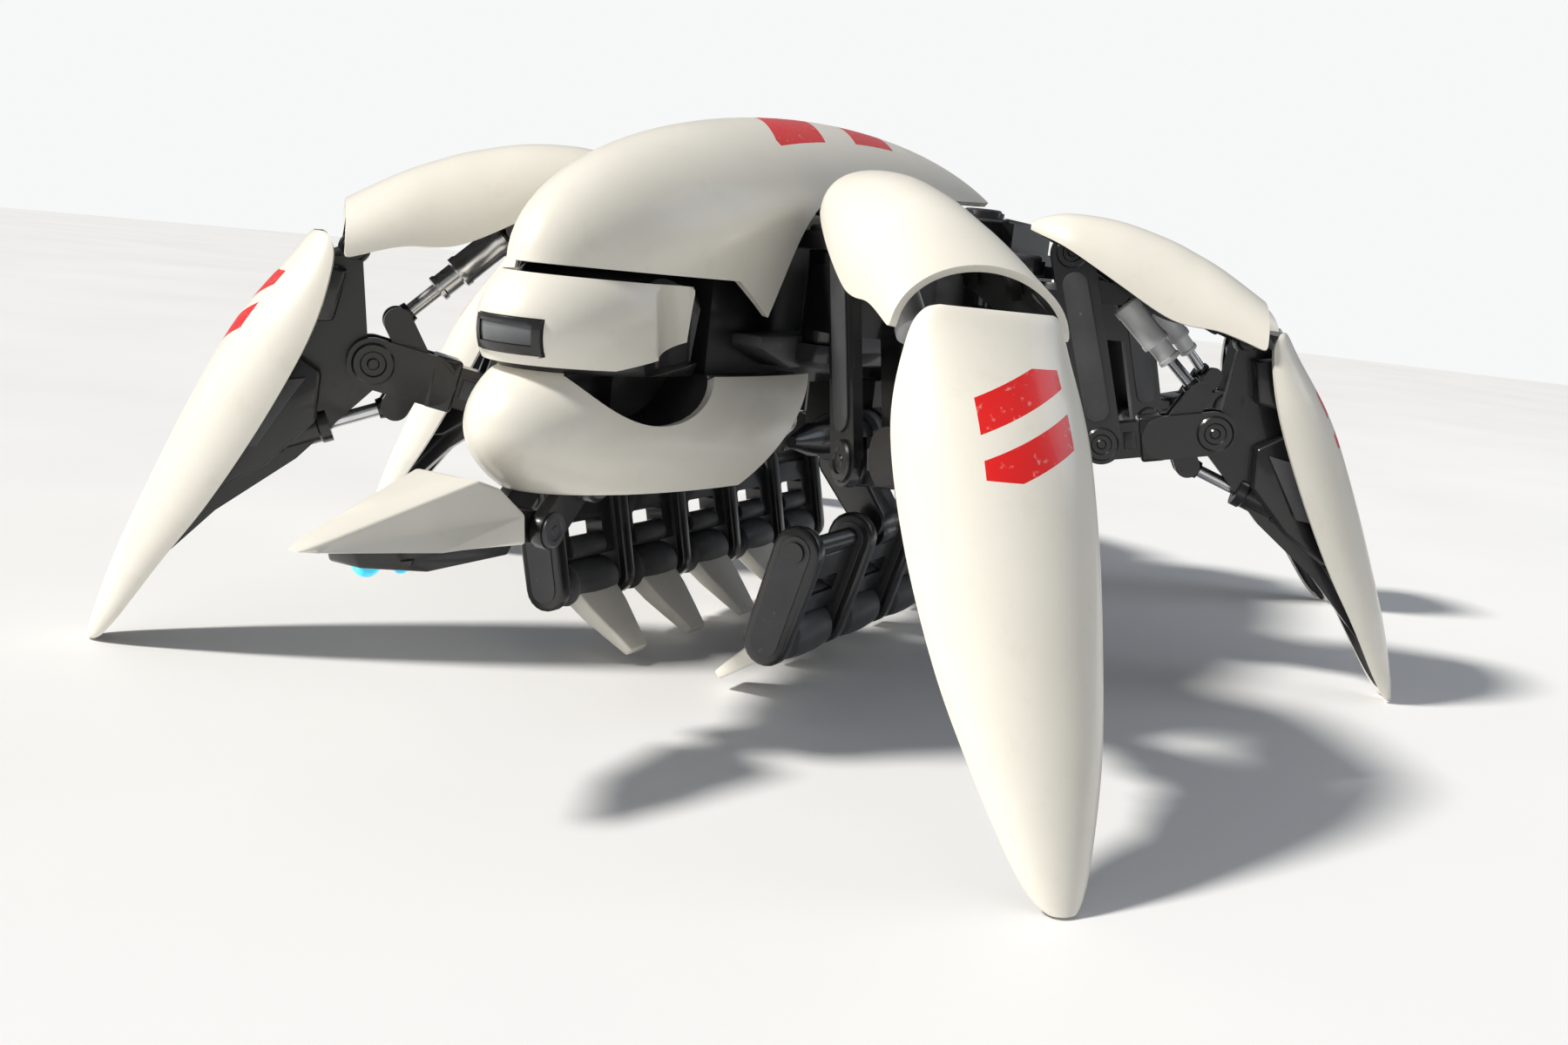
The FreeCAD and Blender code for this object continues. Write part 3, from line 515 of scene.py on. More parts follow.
def piece(name, bm, body, paint, at=Matrix(), wall=0, rim=0, levels=0, face=False, stands_for=()):
    """Turn a shape into a finished piece that rides on a body. A wall makes it a shell with painted
    shade on its inner face.
    """
    bmesh.ops.remove_doubles(bm, verts=bm.verts, dist=WELD)
    mesh = bpy.data.meshes.new(name)
    bm.to_mesh(mesh)
    bm.free()
    if face:
        face_map(mesh)
    mesh.transform(Matrix.Scale(MM, 4) @ at)
    mesh.materials.append(paint)
    obj = bpy.data.objects.new(name, mesh)
    bpy.context.scene.collection.objects.link(obj)
    mesh.shade_smooth()
    if not wall:
        mesh.set_sharp_from_angle(angle=CREASE)
    if levels:
        smooth = obj.modifiers.new("smooth", "SUBSURF")
        smooth.levels = levels
        smooth.render_levels = levels
    if wall:
        # the inner faces take the painted shade colour instead of the shell's own cream
        mesh.materials.append(PAINTED_SHADE_INSIDE)
        thick = obj.modifiers.new("wall", "SOLIDIFY")
        thick.thickness = wall * MM
        thick.offset = -1
        thick.use_even_offset = True
        thick.material_offset = 1
        edge = obj.modifiers.new("rim", "BEVEL")
        edge.width = rim * MM
        edge.segments = 3
        edge.limit_method = "ANGLE"
        edge.angle_limit = RIM_ANGLE
        edge.harden_normals = True
    for node in stands_for:
        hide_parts(node)
    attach(obj, body)


def dress(node, paint, width):
    """Give a shown node its finish and ease its edges."""
    obj = frame["nodes"][node]
    for slot in obj.material_slots:
        slot.material = paint
    weld = obj.modifiers.new("weld", "WELD")
    weld.merge_threshold = NODE_WELD * MM
    edge = obj.modifiers.new("edge", "BEVEL")
    edge.width = width * MM
    edge.segments = 2
    edge.limit_method = "ANGLE"
    edge.angle_limit = NODE_ANGLE
    edge.harden_normals = True


def hip_frame(hip):
    """The leg frame of one hip, in millimetres."""
    place = Vector(joints[hip + "_hip_yaw"]["pos_m"]) / MM
    hinge = joints[hip + "_hip_lift"]["axis"]
    turn = math.atan2(hinge[0], -hinge[1])
    return Matrix.Translation((place.x, place.y, 0)) @ Matrix.Rotation(turn, 4, "Z")


def leg_point(joint):
    """Where a joint of the front left leg is, in the leg frame's upright plane."""
    place = Vector(joints["front_left_" + joint]["pos_m"]) / MM
    spot = hip_frame("front_left").inverted() @ place
    return Vector((spot.x, 0, spot.z))


CROWN = leg_point("thigh_guard_tilt")
LIFT = leg_point("hip_lift")
KNEE = leg_point("knee")
RAM = leg_point("cylinder_swing")
CLEVIS = Vector((82, 0, 119))
DAMPER = Vector((81.5, 0, 89))
LINK = Vector((98, 0, 143))
DAMPER_DROP = math.radians(20)
DAMPER_WAY = Vector((math.cos(DAMPER_DROP), 0, -math.sin(DAMPER_DROP)))
RAM_WAY = (CLEVIS - RAM).normalized()

# stations of the two shells, as (along, crown, half width, drop)
THIGH = [(4, 181.5, 3, 3), (9, 184.5, 9.5, 8), (20, 187, 17.5, 15), (40, 186, 23, 25),
         (60, 181, 25.8, 31), (71, 176.8, 26.8, 30), (84, 170.8, 27.8, 25), (102, 160, 29.8, 20)]
SHIN = [(148, 112, 18.5, 3.5), (146, 114, 22.5, 7.5), (138, 119.5, 25.8, 14), (115, 136, 30.5, 25),
        (85, 150.5, 29.5, 26), (55, 163, 25, 22), (33, 171.5, 19.5, 16), (12, 178, 12, 9.5),
        (3.5, 180, 7.5, 5.5), (0.9, 180.5, 4.5, 3)]
LEG_WALL = 2.4
YOKE_FACE = 11.3
BEAM_FACE = 10.3


def flat(point):
    """A point's two numbers in the upright plane."""
    return point.x, point.z


def pin_cap(centre, radius, y_face, proud=1.4):
    """A round cap with a stepped rim and a socket, on both sides."""
    near = Vector((centre.x, y_face, centre.z))
    far = near + Vector((0, proud, 0))
    socket = proud * 0.55
    profile = [(0, 0), (0, radius), (proud * 0.6, radius), (proud, radius - 0.7),
               (proud, radius * 0.62), (socket, radius * 0.55), (socket, radius * 0.3),
               (proud * 0.9, radius * 0.22), (proud * 0.9, 0)]
    return both_sides(turned(profile, near, far, 32))


def make_thigh(hip, at):
    """The upper shell, and the spine, hub and two ribs under it."""
    body = hip + "_thigh_guard"
    piece(hip + "_thigh_shell", trough(THIGH, False), body, CREAM, at, wall=LEG_WALL, rim=1.0,
          levels=1, stands_for=[hip + "_thigh_armor"])
    spine = plate([(18, 181), (40, 182.5), (60, 177.5), (84, 166), (82, 160), (58, 170), (40, 174),
                   (27, 166), (18, 166)], -5, 5)
    hub_half = Vector((0, 7.4, 0))
    hub = bar(7.2, CROWN - hub_half, CROWN + hub_half)
    ribs = []
    for along, crown, half, drop in ((58, 178.5, 21.5, 24), (82, 169, 23, 16)):
        rib = trough([(along - 2, crown, half, drop), (along + 2, crown - 2, half, drop)],
                     False, 1, 14)
        bmesh.ops.solidify(rib, geom=rib.faces[:], thickness=3.2)
        ribs.append(rib)
    piece(hip + "_thigh_spine", join(eased(spine, 1.0), eased(hub, 0.6), *ribs), body, BLACK, at)


def make_shin(hip, at):
    """The outer shell, and the core, panels, damper collar and link behind it."""
    body = hip + "_shin"
    piece(hip + "_shin_shell", trough(SHIN, True), body, FACE, at, wall=LEG_WALL, rim=0.9,
          levels=1, face=True, stands_for=[hip + "_shin_armor"])
    dress(hip + "_shin_frame", BLACK, 0.5)
    wedge = plate([(126, 112), (139, 108), (152, 72), (157, 52), (141, 55), (124, 66), (108, 83),
                   (107, 100)], -13, 13)
    taper_from, taper_long, taper_by = 108, 50, 0.55
    for vert in wedge.verts:
        vert.co.y *= 1 - taper_by * max(0, (vert.co.x - taper_from) / taper_long)
    upper = plate([(100, 136), (113, 138), (126, 122), (120, 116), (104, 118)], -16, 16)
    tongue = plate([(140, 56), (158, 50), (168, 26), (171, 20), (160, 32)], -6.5, 6.5)
    core = join(eased(wedge, 1.6, 3), eased(upper, 1.6, 3), eased(tongue, 1.0))
    piece(hip + "_shin_core", core, body, BLACK, at)
    fin = plate([(112, 98), (128, 95), (140, 72), (127, 73)], 13.4, 14.4)
    piece(hip + "_shin_panels", both_sides(eased(fin, 0.4)), body, GREY, at)
    mouth = DAMPER + DAMPER_WAY * 23.5
    profile = [(0, 3), (0, 6.6), (3.5, 6.6), (4.2, 5.9), (17, 5.9), (17.7, 6.6), (21, 6.6), (22, 5),
               (22, 3)]
    collar = turned(profile, mouth, mouth + DAMPER_WAY)
    piece(hip + "_damper_collar", collar, body, BLACK, at)
    pin_half = Vector((0, 6.5, 0))
    link = join(ball(LINK, (5.6, 5.6, 5.6)), bar(2.6, LINK, LINK + Vector((14, 0, -9)), 4.2),
                bar(3.6, LINK - pin_half, LINK + pin_half))
    piece(hip + "_shin_link", link, body, BLACK, at)


def make_yoke(hip, at):
    """The hip yoke's inset panels, pin caps and turning motor."""
    body = hip + "_hip"
    dress(hip + "_hip_yoke", BLACK, 0.9)
    high, low = CROWN + Vector((3, 0, -13)), LIFT + Vector((-4, 0, 14))
    inset = eased(oblong(flat(high), flat(low), 5.2, YOKE_FACE - 0.1, YOKE_FACE + 0.8), 0.4)
    piece(hip + "_yoke_inset", both_sides(inset), body, GREY, at)
    caps = join(pin_cap(CROWN, 6.6, YOKE_FACE), pin_cap(LIFT, 7.0, YOKE_FACE))
    piece(hip + "_yoke_caps", caps, body, BLACK, at)
    motor = join(eased(bar(8.2, (18, 0, 137), (18, 0, 158)), 0.8),
                 eased(block((4, -9.5, 139), (27, 9.5, 150)), 1.0))
    piece(hip + "_yoke_motor", motor, body, GREY, at)


def make_beam(hip, at):
    """The beam's clamp and insets, set along the line from the hip's pin to the knee's."""
    body = hip + "_beam"
    dress(hip + "_femur_beam", BLACK, 0.7)
    way = (KNEE - LIFT).normalized()
    up = Vector((-way.z, 0, way.x))

    def box_outline(first, last, half):
        corners = ((first, -half), (last, -half), (last, half), (first, half))
        return [flat(LIFT + way * along + up * rise) for along, rise in corners]

    clamp = eased(plate(box_outline(16, 26, 9.5), -9, 9), 1.3, 3)
    piece(hip + "_beam_clamp", clamp, body, BLACK, at)
    insets = [eased(plate(box_outline(first, last, 3.6), 6.4, 7.2), 0.35)
              for first, last in ((9.5, 14.5), (27.5, 31.5))]
    piece(hip + "_beam_insets", both_sides(join(*insets)), body, GREY, at)
    piece(hip + "_knee_caps", pin_cap(KNEE, 7.4, BEAM_FACE), body, BLACK, at)


def make_rams(hip, at, sleeve):
    """The two-stage lift ram, and the eyes of the ram and the knee damper."""
    cylinder = hip + "_cylinder"
    profile = [(5, 2.7), (5, 5.0), (6, 5.8), (9, 5.8), (9.6, 5.5), (23.6, 5.5), (24.2, 5.9),
               (26.4, 5.9), (27, 4.4), (33.6, 4.4), (34.2, 4.9), (35.6, 4.9), (36, 4.2), (36, 2.7)]
    piece(hip + "_ram_sleeve", turned(profile, RAM, RAM + RAM_WAY), cylinder, sleeve, at,
          stands_for=[hip + "_lift_cylinder"])
    eye_half = Vector((0, 4, 0))
    eye = join(ball(RAM, (4.6, 4.2, 4.6)), bar(3.2, RAM, RAM + RAM_WAY * 6),
               bar(3.9, RAM - eye_half, RAM + eye_half))
    piece(hip + "_ram_eye", eye, cylinder, BLACK, at)
    knuckle = (4.7, 4.1, 4.7)
    for rod, end_name, rider, pin, way, neck in (
            ("_lift_rod", "_ram_end", "_ram", CLEVIS, RAM_WAY,
             [(-6, 2.55), (-6, 3.6), (-4, 3.9), (-3, 2.6)]),
            ("_knee_rod", "_damper_end", "_damper", DAMPER, DAMPER_WAY,
             [(3, 2.6), (4, 3.9), (6, 3.6), (6, 2.55)])):
        dress(hip + rod, STEEL, 0.3)
        end = join(ball(pin, knuckle), turned(neck, pin, pin + way))
        piece(hip + end_name, end, hip + rider, BLACK, at)


def make_legs():
    """Six legs of the same pieces, with bright sleeves on the right and pale ones on the left."""
    for hip in HIPS:
        at = hip_frame(hip)
        make_yoke(hip, at)
        make_beam(hip, at)
        make_rams(hip, at, STEEL if hip.endswith("right") else ENAMEL)
        make_shin(hip, at)
        make_thigh(hip, at)


# ---------------------------------------------------------------- body

DOME = ((1, 0, 147), (215, 46, 62))
ARCH = (72, 120, 61)
LIP = ((148, 147), (130, 135.5))
TAIL_SLOPE = math.tan(math.radians(3.4))


def through(outline):
    """A plate from an outline in the upright plane that passes right through the body."""
    return plate(outline, -FAR / 2, FAR / 2)


def dome_solid():
    """The dome over the wheel arch, with a tooth in front of the arch and a raised tail."""
    solid = ball(*DOME, 56)
    x, z, radius = ARCH
    wheel = bar(radius, (x, -FAR / 2, z), (x, FAR / 2, z), sides=128)
    (lip_x, lip_z), (tooth_x, tooth_z) = LIP
    floor = through([(FAR, lip_z), (lip_x, lip_z), (tooth_x, tooth_z), (x, tooth_z), (x, 0),
                     (FAR, 0)])
    top = z + radius
    tail = through([(x, top), (x, 0), (-FAR, 0), (-FAR, top + (x + FAR) * TAIL_SLOPE)])
    return carved(solid, "DIFFERENCE", floor, wheel, tail)


def make_carapace():
    """The domed shell, the posts under it, and a dark band just inside each wheel arch."""
    wall = 2.5
    skin = skinned(dome_solid(), on_ovoid(*DOME))
    piece("carapace_shell", skin, "frame", CREST, wall=wall, rim=1.0, stands_for=["carapace"])
    (middle, _, edge), (half_long, _, high) = DOME
    post_radius = 5
    posts = []
    for x in (-69, 31, 131):
        reach = abs(x - middle) + post_radius
        under = edge + high * math.sqrt(1 - reach ** 2 / half_long ** 2) - wall
        posts.append(bar(post_radius, (x, 0, 172), (x, 0, under)))
    piece("carapace_posts", eased(join(*posts), 0.6), "frame", BLACK)
    x, z, radius = ARCH
    band_wide, band_in, band_out = 7, 22, 26
    turns = [math.radians(28 + 7 * i) for i in range(12)]
    outline = [(x + around * math.cos(turn), z + around * math.sin(turn))
               for around, order in ((radius, turns), (radius - band_wide, turns[::-1]))
               for turn in order]
    band = eased(plate(outline, band_in, band_out), 0.6)
    piece("arch_bands", both_sides(band), "frame", BLACK)


HEAD = ((166, 0, 128), (58, 31, 30))
JAW = ((116, 0, 99), (112, 39, 37))
JAW_FLOOR = 80
LAMP_PIN = Vector((206, 0, 69))
LAMP_BOSS = Vector((190, 0, 84))


def cheek_scoops(radius, foot):
    """The two upright rounds that hollow the sides of the head."""
    return [bar(radius, (171, side * 48.5, foot), (179, side * 48.5, 160), sides=96)
            for side in (1, -1)]


def visor_slab(swell, front, low, high):
    """The part of the swollen head in front of front, between two (side, height) corners."""
    centre, halves = HEAD
    solid = ball(centre, [half + swell for half in halves], 64)
    return carved(solid, "INTERSECT", block((front, *low), (FAR, *high)))


def make_head():
    """The cowl with its hollowed cheeks, the core behind it, and the visor in its bezel."""
    centre, halves = HEAD
    back, low, high, face = 164.3, 118, 144, 200
    pane_low, pane_high = (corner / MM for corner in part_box("visor"))
    half, bottom, top = pane_high.y, pane_low.z, pane_high.z
    gap, near = 0.3, 0.4
    solid = carved(ball(centre, halves, 48), "INTERSECT",
                   block((back, -FAR, low), (FAR, FAR, high)))
    window = block((face, -half - gap, bottom - gap), (FAR, half + gap, top + gap))
    chin = through([(203, low - 1), (back - 1, 127), (back - 1, low - 1)])
    solid = carved(solid, "DIFFERENCE", window, chin, *cheek_scoops(24, 122))
    on_skin = on_ovoid(centre, halves)

    def by_window(p):
        return p.x > face and abs(p.y) < half + near and bottom - near < p.z < top + near

    def kept(p):
        open_side = p.z >= high - 0.1 or p.x <= back + 0.1
        return not open_side and (on_skin(p) or not by_window(p))

    piece("head_cowl", skinned(solid, kept), "frame", CREAM, wall=2.5, rim=0.9,
          stands_for=["head_shell"])
    core = ball(centre, [size - 3.2 for size in halves], 40)
    core = carved(core, "INTERSECT", block((158, -FAR, 116), (FAR, FAR, 146.5)))
    core = carved(core, "DIFFERENCE", *cheek_scoops(28, 118))
    piece("head_core", eased(core, 0.6), "frame", BLACK)
    bezel = visor_slab(0.8, face, (-half, bottom), (half, top))
    opening = block((221, 2.1 - half, bottom + 2.4), (FAR, half - 2.1, top - 1.7))
    bezel = eased(carved(bezel, "DIFFERENCE", opening), 0.5)
    piece("visor_bezel", bezel, "frame", BLACK, stands_for=["visor"])
    pane = visor_slab(0.2, 219, (2 - half, bottom + 2.3), (half - 2, top - 1.6))
    piece("visor_pane", eased(pane, 0.3), "frame", PANE)


def jaw_solid(shrink=0):
    """The jaw scooped out at each side, with a tail that is cut back at a slant."""
    centre, halves = JAW
    high, tail_x = 116.5, 134 + 2 * shrink
    solid = ball(centre, [half - shrink for half in halves], 56)
    solid = carved(solid, "INTERSECT", block((0, -FAR, JAW_FLOOR + shrink), (FAR, FAR, high)))
    x, z, less = 184, 138, shrink / 2
    scoops = [bar(34 + less, (x, side * (12 - less), z), (x, side * 50, z), 38 + less, 96)
              for side in (1, -1)]
    slant_top = JAW_FLOOR + 100 * math.tan(math.radians(40))
    tail = through([(tail_x, 60), (tail_x, JAW_FLOOR), (34, slant_top), (-100, slant_top),
                    (-100, 60)])
    return carved(solid, "DIFFERENCE", tail, *scoops)


def make_jaw():
    """The jaw's shell and the dark core that shows in its scoops."""
    on_skin = on_ovoid(*JAW)
    skin = skinned(jaw_solid(), lambda p: on_skin(p) or p.z < JAW_FLOOR + 0.2)
    piece("jaw_cowl", skin, "frame", CREAM, wall=3.0, rim=1.1, stands_for=["jaw_shell"])
    piece("jaw_core", eased(jaw_solid(3.4), 0.6), "frame", BLACK)


HOUSINGS = ([(-150, 120), (-82, 116), (-66, 126), (-66, 158), (-80, 166), (-150, 166)],
            [(-14, 126), (8, 118), (66, 118), (76, 128), (76, 152), (60, 165), (0, 165),
             (-14, 156)])
HOUSING_PANELS = ([(-143, 126), (-86, 122), (-73, 130), (-73, 152), (-84, 159), (-143, 159)],
                  [(-7, 129), (12, 124), (62, 124), (69, 131), (69, 148), (56, 158), (4, 158),
                   (-7, 151)])


def make_chassis():
    """Housings, fins and bearings on the chassis, its hatch and rails, and the lamp's bracket."""
    dress("chassis", BLACK, 0.8)
    shapes = [eased(plate(outline, 24, 38), 1.8, 3) for outline in HOUSINGS]
    piece("side_housings", both_sides(join(*shapes)), "frame", BLACK)
    panels = [eased(plate(outline, 37.6, 39), 0.5) for outline in HOUSING_PANELS]
    piece("side_panels", both_sides(join(*panels)), "frame", GREY)
    fins = eased(plate([(58, 121), (110, 119), (134, 126), (134, 130), (60, 131)], 22, 36), 1.0)
    piece("front_fins", both_sides(fins), "frame", GREY)
    hatch_x = -164
    wide = turned([(0, 9), (0, 15.4), (1.6, 15.4), (2.2, 14.6), (2.2, 9)],
                  (hatch_x, 0, 184), (hatch_x, 0, 185))
    narrow = turned([(0, 5), (0, 9.6), (1.0, 9.6), (1.6, 8.8), (1.6, 5)],
                    (hatch_x, 0, 189.8), (hatch_x, 0, 190.8))
    piece("hatch_rings", join(wide, narrow), "frame", GREY)
    rails = eased(block((-190, 20, 183.8), (-136, 24, 186.5)), 0.8)
    piece("deck_rails", both_sides(rails), "frame", BLACK)
    bearings = []
    for hip in HIPS:
        x, y, _ = hip_frame(hip).translation
        for z, way in ((166, 1), (122, -1)):
            bearings.append(turned([(0, 6.6), (0, 10.4), (1.4, 10.4), (2.2, 9.6), (2.2, 6.6)],
                                   (x, y, z), (x, y, z + way)))
    piece("hip_bearings", join(*bearings), "frame", GREY)
    boss_half = Vector((0, 15, 0))
    boss = eased(bar(7.5, LAMP_BOSS - boss_half, LAMP_BOSS + boss_half), 0.8)
    web = eased(plate([(176, 92), (196, 92), (196, 78), (186, 76), (176, 82)], -12, 12), 1.2)
    piece("lamp_bracket", join(boss, web), "frame", BLACK)
    caps = join(pin_cap(LAMP_PIN, 5.4, 10.3), pin_cap(LAMP_BOSS, 6, boss_half.y))
    piece("lamp_bracket_caps", caps, "frame", GREY)


def narrowed(bm, long, least):
    """Draw a lamp plate in towards its nose, down to a least share of its width."""
    nose_from = 258
    for vert in bm.verts:
        if vert.co.x > nose_from:
            vert.co.y *= max(least, 1 - (vert.co.x - nose_from) / long)
    return bm


def make_lamp():
    """The tilting pod's cover, its dark base with the arm, and four lenses in cups."""
    outline = [(226, 68), (262, 70.5), (294, 72.2), (299.4, 73), (291, 75.5), (243, 87.4),
               (234, 84.5), (227, 77)]
    top = narrowed(plate(outline, -16, 16), 46, 0.16)
    for vert in top.verts:
        if vert.co.z > 80:
            vert.co.y *= 0.72
    piece("lamp_cover", eased(top, 1.6, 3), "lamp", CREAM, stands_for=["lamp_pod"])
    outline = [(227, 69.5), (270, 72), (283, 72), (281, 67), (262, 64.5), (230, 65)]
    under = narrowed(plate(outline, -13, 13), 40, 0.3)
    arm = join(eased(oblong(flat(LAMP_PIN), (232, 73), 5.0, -5.7, 5.7), 0.7),
               eased(block((222, -9, 66), (236, 9, 78)), 1.2))
    piece("lamp_base", join(eased(under, 1.0), arm), "lamp", BLACK)
    lenses = (("large", 3.9, (273, 0, 66.5)), ("left", 2.1, (266, 5.6, 65.6)),
              ("middle", 2.1, (262, 0, 64.9)), ("right", 2.1, (266, -5.6, 65.6)))
    for word, radius, place in lenses:
        x, y, z = place
        piece("lens_" + word, ball(place, (radius, radius, radius), 16), "lamp", LENS)
        profile = [(0, radius * 0.6), (0, radius + 0.9), (radius, radius + 1.3),
                   (radius, radius * 0.6)]
        piece("lens_cup_" + word, turned(profile, place, (x, y, z + 1)), "lamp", BLACK)


# ---------------------------------------------------------------- hands

FINGERS = 5
PITCH = 43.8
HAND_MIDDLE = joints["left_arm_swing"]["pos_m"][0] / MM
CLAW_TIP = (20, 6)
RING = [(0, 5), (0, 8.4), (0.8, 9), (5.2, 9), (6, 8.4), (6, 5)]
HUB = [(-17.5, 0), (-17.5, 5.2), (-13.5, 5.2), (-13, 8.2), (-4, 8.8), (4, 8.8), (13, 8.2),
       (13.5, 5.2), (17.5, 5.2), (17.5, 0)]


def across(outline, x_low, x_high):
    """A plate that stands across the robot, from an outline of (side, height)."""
    bm = plate(outline, x_low, x_high)
    swap = Matrix(((0, 1, 0, 0), (1, 0, 0, 0), (0, 0, 1, 0), (0, 0, 0, 1)))
    bmesh.ops.transform(bm, matrix=swap, verts=bm.verts)
    bmesh.ops.recalc_face_normals(bm, faces=bm.faces)
    return bm


def palm_panel(ends, down, out, x):
    """The plate between two palm links, with a round-ended window in it."""
    lay = Matrix((Vector((1, 0, 0)), down.normalized(), out)).transposed().to_4x4()
    half, length = (PITCH - 6.4) / 2, down.length
    panel = eased(block((-half, 1.5, -4.2), (half, length * 0.74, 3.4)), 1.2, 3)
    window = block((-11, length * 0.33, -20), (11, length * 0.52, 20))
    panel = carved(panel, "DIFFERENCE", eased(window, 1.5, 3, 60))
    place = Matrix.Translation(ends[0] + Vector((x, 0, 0)))
    bmesh.ops.transform(panel, matrix=place @ lay, verts=panel.verts)
    return panel


def claw_blade(root, tip, x):
    """A flat tapered blade from the knuckle to its squared tip."""
    way = tip - root
    width, deep, place = 27, 7.5, 0.0
    blade = bmesh.new()
    bmesh.ops.create_cube(blade, size=1)
    bmesh.ops.scale(blade, vec=(width, 5, deep), verts=blade.verts)
    lead = [face for face in blade.faces if face.normal.y < -0.5]
    for share, next_width, next_deep in ((0.35, 24, 6.4), (0.7, 17, 5.0), (0.97, 11.5, 3.6)):
        grown = bmesh.ops.extrude_face_region(blade, geom=lead)
        bmesh.ops.delete(blade, geom=lead, context="FACES_ONLY")
        verts = [item for item in grown["geom"] if isinstance(item, bmesh.types.BMVert)]
        lead = [item for item in grown["geom"] if isinstance(item, bmesh.types.BMFace)]
        thinner = (next_width / width, 1, next_deep / deep)
        bmesh.ops.scale(blade, vec=thinner, verts=verts)
        bmesh.ops.translate(blade, vec=(0, (place - share) * way.length, 0), verts=verts)
        width, deep, place = next_width, next_deep, share
    bmesh.ops.recalc_face_normals(blade, faces=blade.faces)
    eased(blade, 0.9, 3, 25)
    lay = (-way).to_track_quat("Y", "Z").to_matrix().to_4x4()
    place = Matrix.Translation(root + Vector((x, 0, 0)))
    bmesh.ops.transform(blade, matrix=place @ lay, verts=blade.verts)
    return blade


def make_hand(side, sign):
    """One gripping hand, worked out on the left side and flipped for the right."""
    def spot(joint):
        place = joints[side + joint]["pos_m"]
        return sign * place[1] / MM, place[2] / MM

    shoulder, elbow, knuckle = spot("_arm_swing"), spot("_palm_swing"), spot("_claws_open")
    flip = Matrix.Scale(sign, 4, (0, 1, 0))

    def hand_piece(name, bm, body, paint, **extra):
        bmesh.ops.transform(bm, matrix=flip, verts=bm.verts)
        bmesh.ops.recalc_face_normals(bm, faces=bm.faces)
        piece(side + "_" + name, bm, side + body, paint, **extra)

    dress(side + "_arm", BLACK, 0.8)
    rings = [turned(RING, (x, *shoulder), (x + 1, *shoulder)) for x in (-66, 40, 66)]
    hand_piece("shoulder_rings", join(*rings), "_hand_arm", GREY)
    guard = round_ended((shoulder[0] + 2, shoulder[1] - 9), (elbow[0], elbow[1] + 4), 7.6, 6.4)
    guards = [eased(across(guard, x - 9, x + 9), 1.2, 3)
              for x in (HAND_MIDDLE - PITCH, HAND_MIDDLE + PITCH)]
    hand_piece("forearm_guards", join(*guards), "_hand_arm", BLACK)

    ends = [Vector((0, *pin)) for pin in (elbow, knuckle)]
    down = ends[1] - ends[0]
    out = Vector((0, -down.z, down.y)).normalized()
    outer, inner = round_ended(elbow, knuckle, 8.8, 8.4), round_ended(elbow, knuckle, 5.6, 5.2)
    plates = []
    insets = []
    for i in range(FINGERS + 1):
        x = HAND_MIDDLE + (i - FINGERS / 2) * PITCH
        plates.append(eased(across(outer, x - 3, x + 3), 1.4, 3))
        for start in (x - 3.5, x + 3.1):
            insets.append(eased(across(inner, start, start + 0.4), 0.15, 1))
    hand_piece("palm_plates", join(*plates), "_hand_palm", BLACK, stands_for=[side + "_palm"])
    hand_piece("palm_insets", join(*insets), "_hand_palm", GREY)

    panels = []
    rollers = []
    blades = []
    hubs = []
    roller_half = Vector((11, 0, 0))
    for i in range(FINGERS):
        x = HAND_MIDDLE + (i - (FINGERS - 1) / 2) * PITCH
        panels.append(palm_panel(ends, down, out, x))
        middle = ends[0] + down * 0.62 - out * 1.2 + Vector((x, 0, 0))
        rollers.append(eased(bar(4.6, middle - roller_half, middle + roller_half), 0.8))
        blades.append(claw_blade(ends[1], Vector((0, *CLAW_TIP)), x))
        hubs.append(eased(turned(HUB, (x, *knuckle), (x + 1, *knuckle)), 0.5))
    hand_piece("palm_panels", join(*panels), "_hand_palm", BLACK)
    hand_piece("palm_rollers", join(*rollers), "_hand_palm", GREY)
    hand_piece("claw_blades", join(*blades), "_hand_claws", CREAM, stands_for=[side + "_claws"])
    hand_piece("claw_hubs", join(*hubs), "_hand_claws", GREY)


make_legs()
make_carapace()
make_head()
make_jaw()
make_chassis()
make_lamp()
for hand_side, hand_sign in SIDES.items():
    make_hand(hand_side, hand_sign)


# ---------------------------------------------------------------- floor, light and camera

def make_floor():
    """A plain square of floor, 12 m across."""
    bm = bmesh.new()
    bmesh.ops.create_grid(bm, x_segments=1, y_segments=1, size=6)
    mesh = bpy.data.meshes.new("floor")
    bm.to_mesh(mesh)
    bm.free()
    mesh.materials.append(floor_paint())
    floor = bpy.data.objects.new("floor", mesh)
    bpy.context.scene.collection.objects.link(floor)


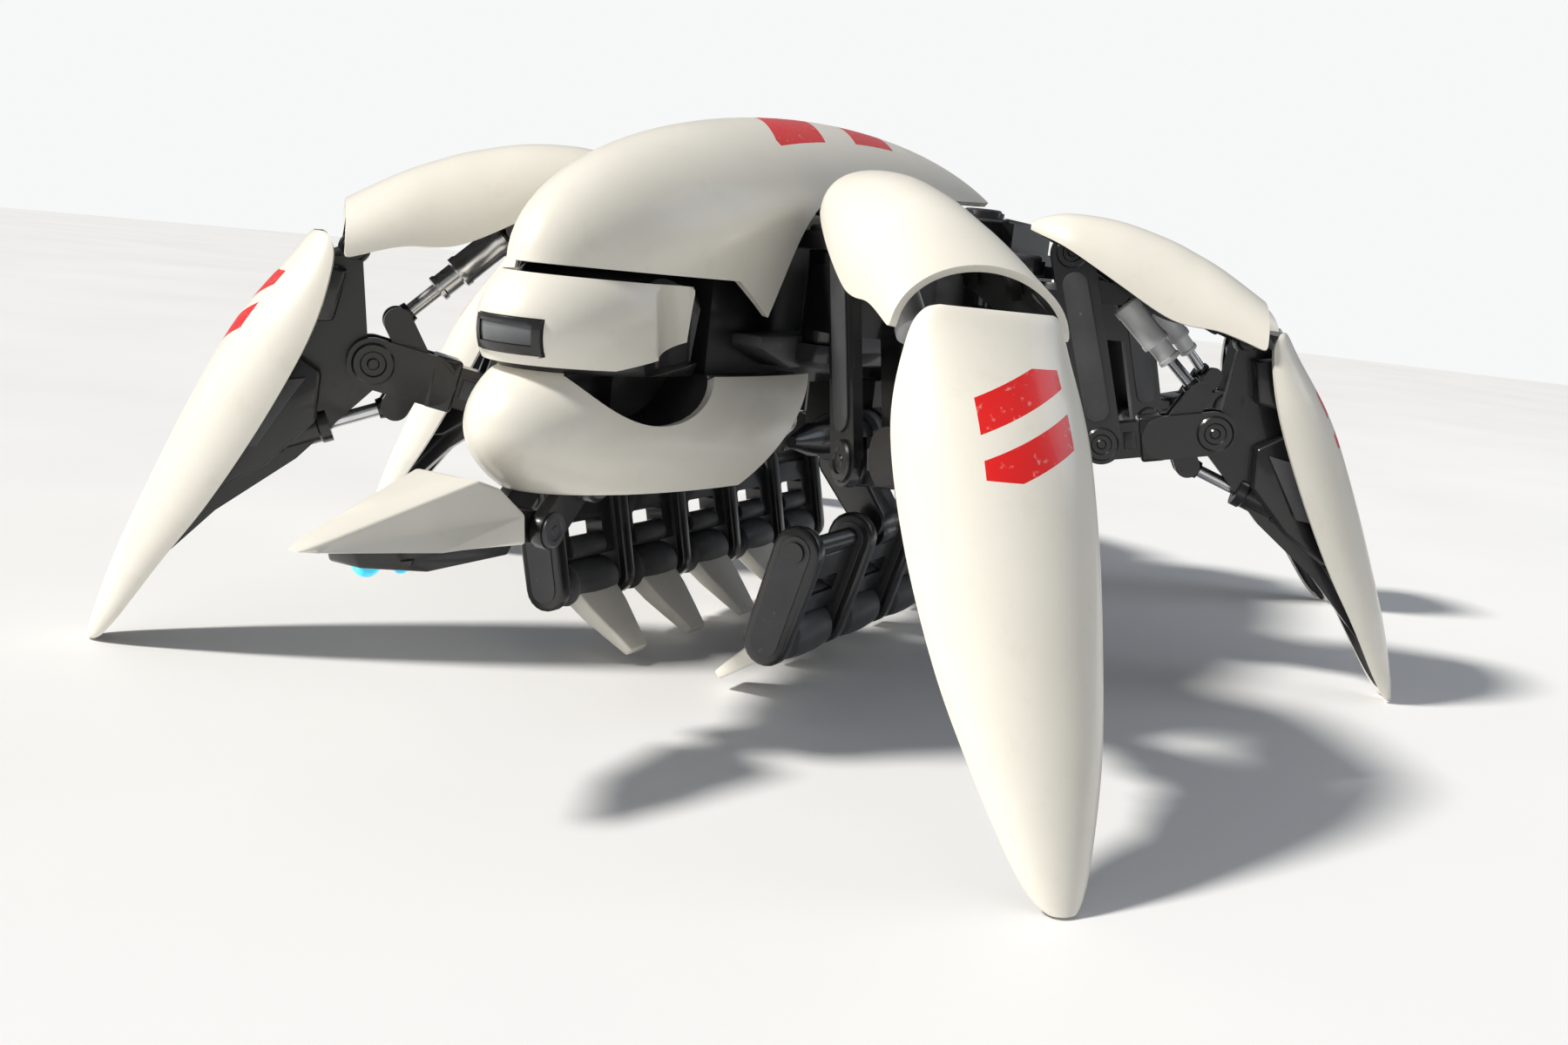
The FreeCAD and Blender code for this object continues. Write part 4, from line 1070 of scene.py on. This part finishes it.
def add_light(name, kind, toward, energy, colour):
    """A light that shines from the direction of toward."""
    data = bpy.data.lights.new(name, kind)
    data.energy = energy
    data.color = colour
    lamp = bpy.data.objects.new(name, data)
    lamp.rotation_euler = Vector(toward).to_track_quat("Z", "Y").to_euler()
    bpy.context.scene.collection.objects.link(lamp)
    return lamp


def make_light():
    """A warm key, a weak cool rim light behind, and an even room that lights all sides."""
    key = add_light("key", "SUN", (0.72, -0.70, 0.92), 4.0, (1.0, 0.97, 0.91))
    key.data.angle = math.radians(7)
    rim = add_light("rim", "AREA", (-1.2, 1.6, 1.3), 5, (0.80, 0.88, 1.0))
    rim.location = (-1.2, 1.6, 1.4)
    rim.data.shape = "DISK"
    rim.data.size = 1.2
    world = bpy.data.worlds.new("studio")
    world.use_nodes = True
    tree = world.node_tree
    room = tree.nodes["Background"]
    room.inputs["Color"].default_value = (0.90, 0.94, 1.0, 1)
    room.inputs["Strength"].default_value = 0.27
    backdrop = tree.nodes.new("ShaderNodeBackground")
    backdrop.inputs["Color"].default_value = (0.93, 0.935, 0.94, 1)
    choose = tree.nodes.new("ShaderNodeMixShader")
    seen = tree.nodes.new("ShaderNodeLightPath")
    tree.links.new(seen.outputs["Is Camera Ray"], choose.inputs["Fac"])
    tree.links.new(room.outputs["Background"], choose.inputs[1])
    tree.links.new(backdrop.outputs["Background"], choose.inputs[2])
    tree.links.new(choose.outputs["Shader"], tree.nodes["World Output"].inputs["Surface"])
    bpy.context.scene.world = world
    bpy.context.scene.view_settings.view_transform = "Standard"


def make_camera():
    """Stand low ahead of the robot's left side, with the camera tipped a little to one side."""
    place = Vector((0.5543, 0.2555, 0.1555))
    forward = Vector((-0.885, -0.430, -0.179)).normalized()
    level = forward.cross(Vector((0, 0, 1))).normalized()
    tip = math.radians(6.3)
    right = level * math.cos(tip) + level.cross(forward) * math.sin(tip)
    up = right.cross(forward)
    data = bpy.data.cameras.new("camera")
    data.sensor_width = 36
    data.lens = 33.08
    data.clip_start = 0.01
    camera = bpy.data.objects.new("camera", data)
    turn = Matrix((right, up, -forward)).transposed().to_4x4()
    camera.matrix_world = Matrix.Translation(place) @ turn
    bpy.context.scene.collection.objects.link(camera)
    bpy.context.scene.camera = camera


make_floor()
make_light()
make_camera()
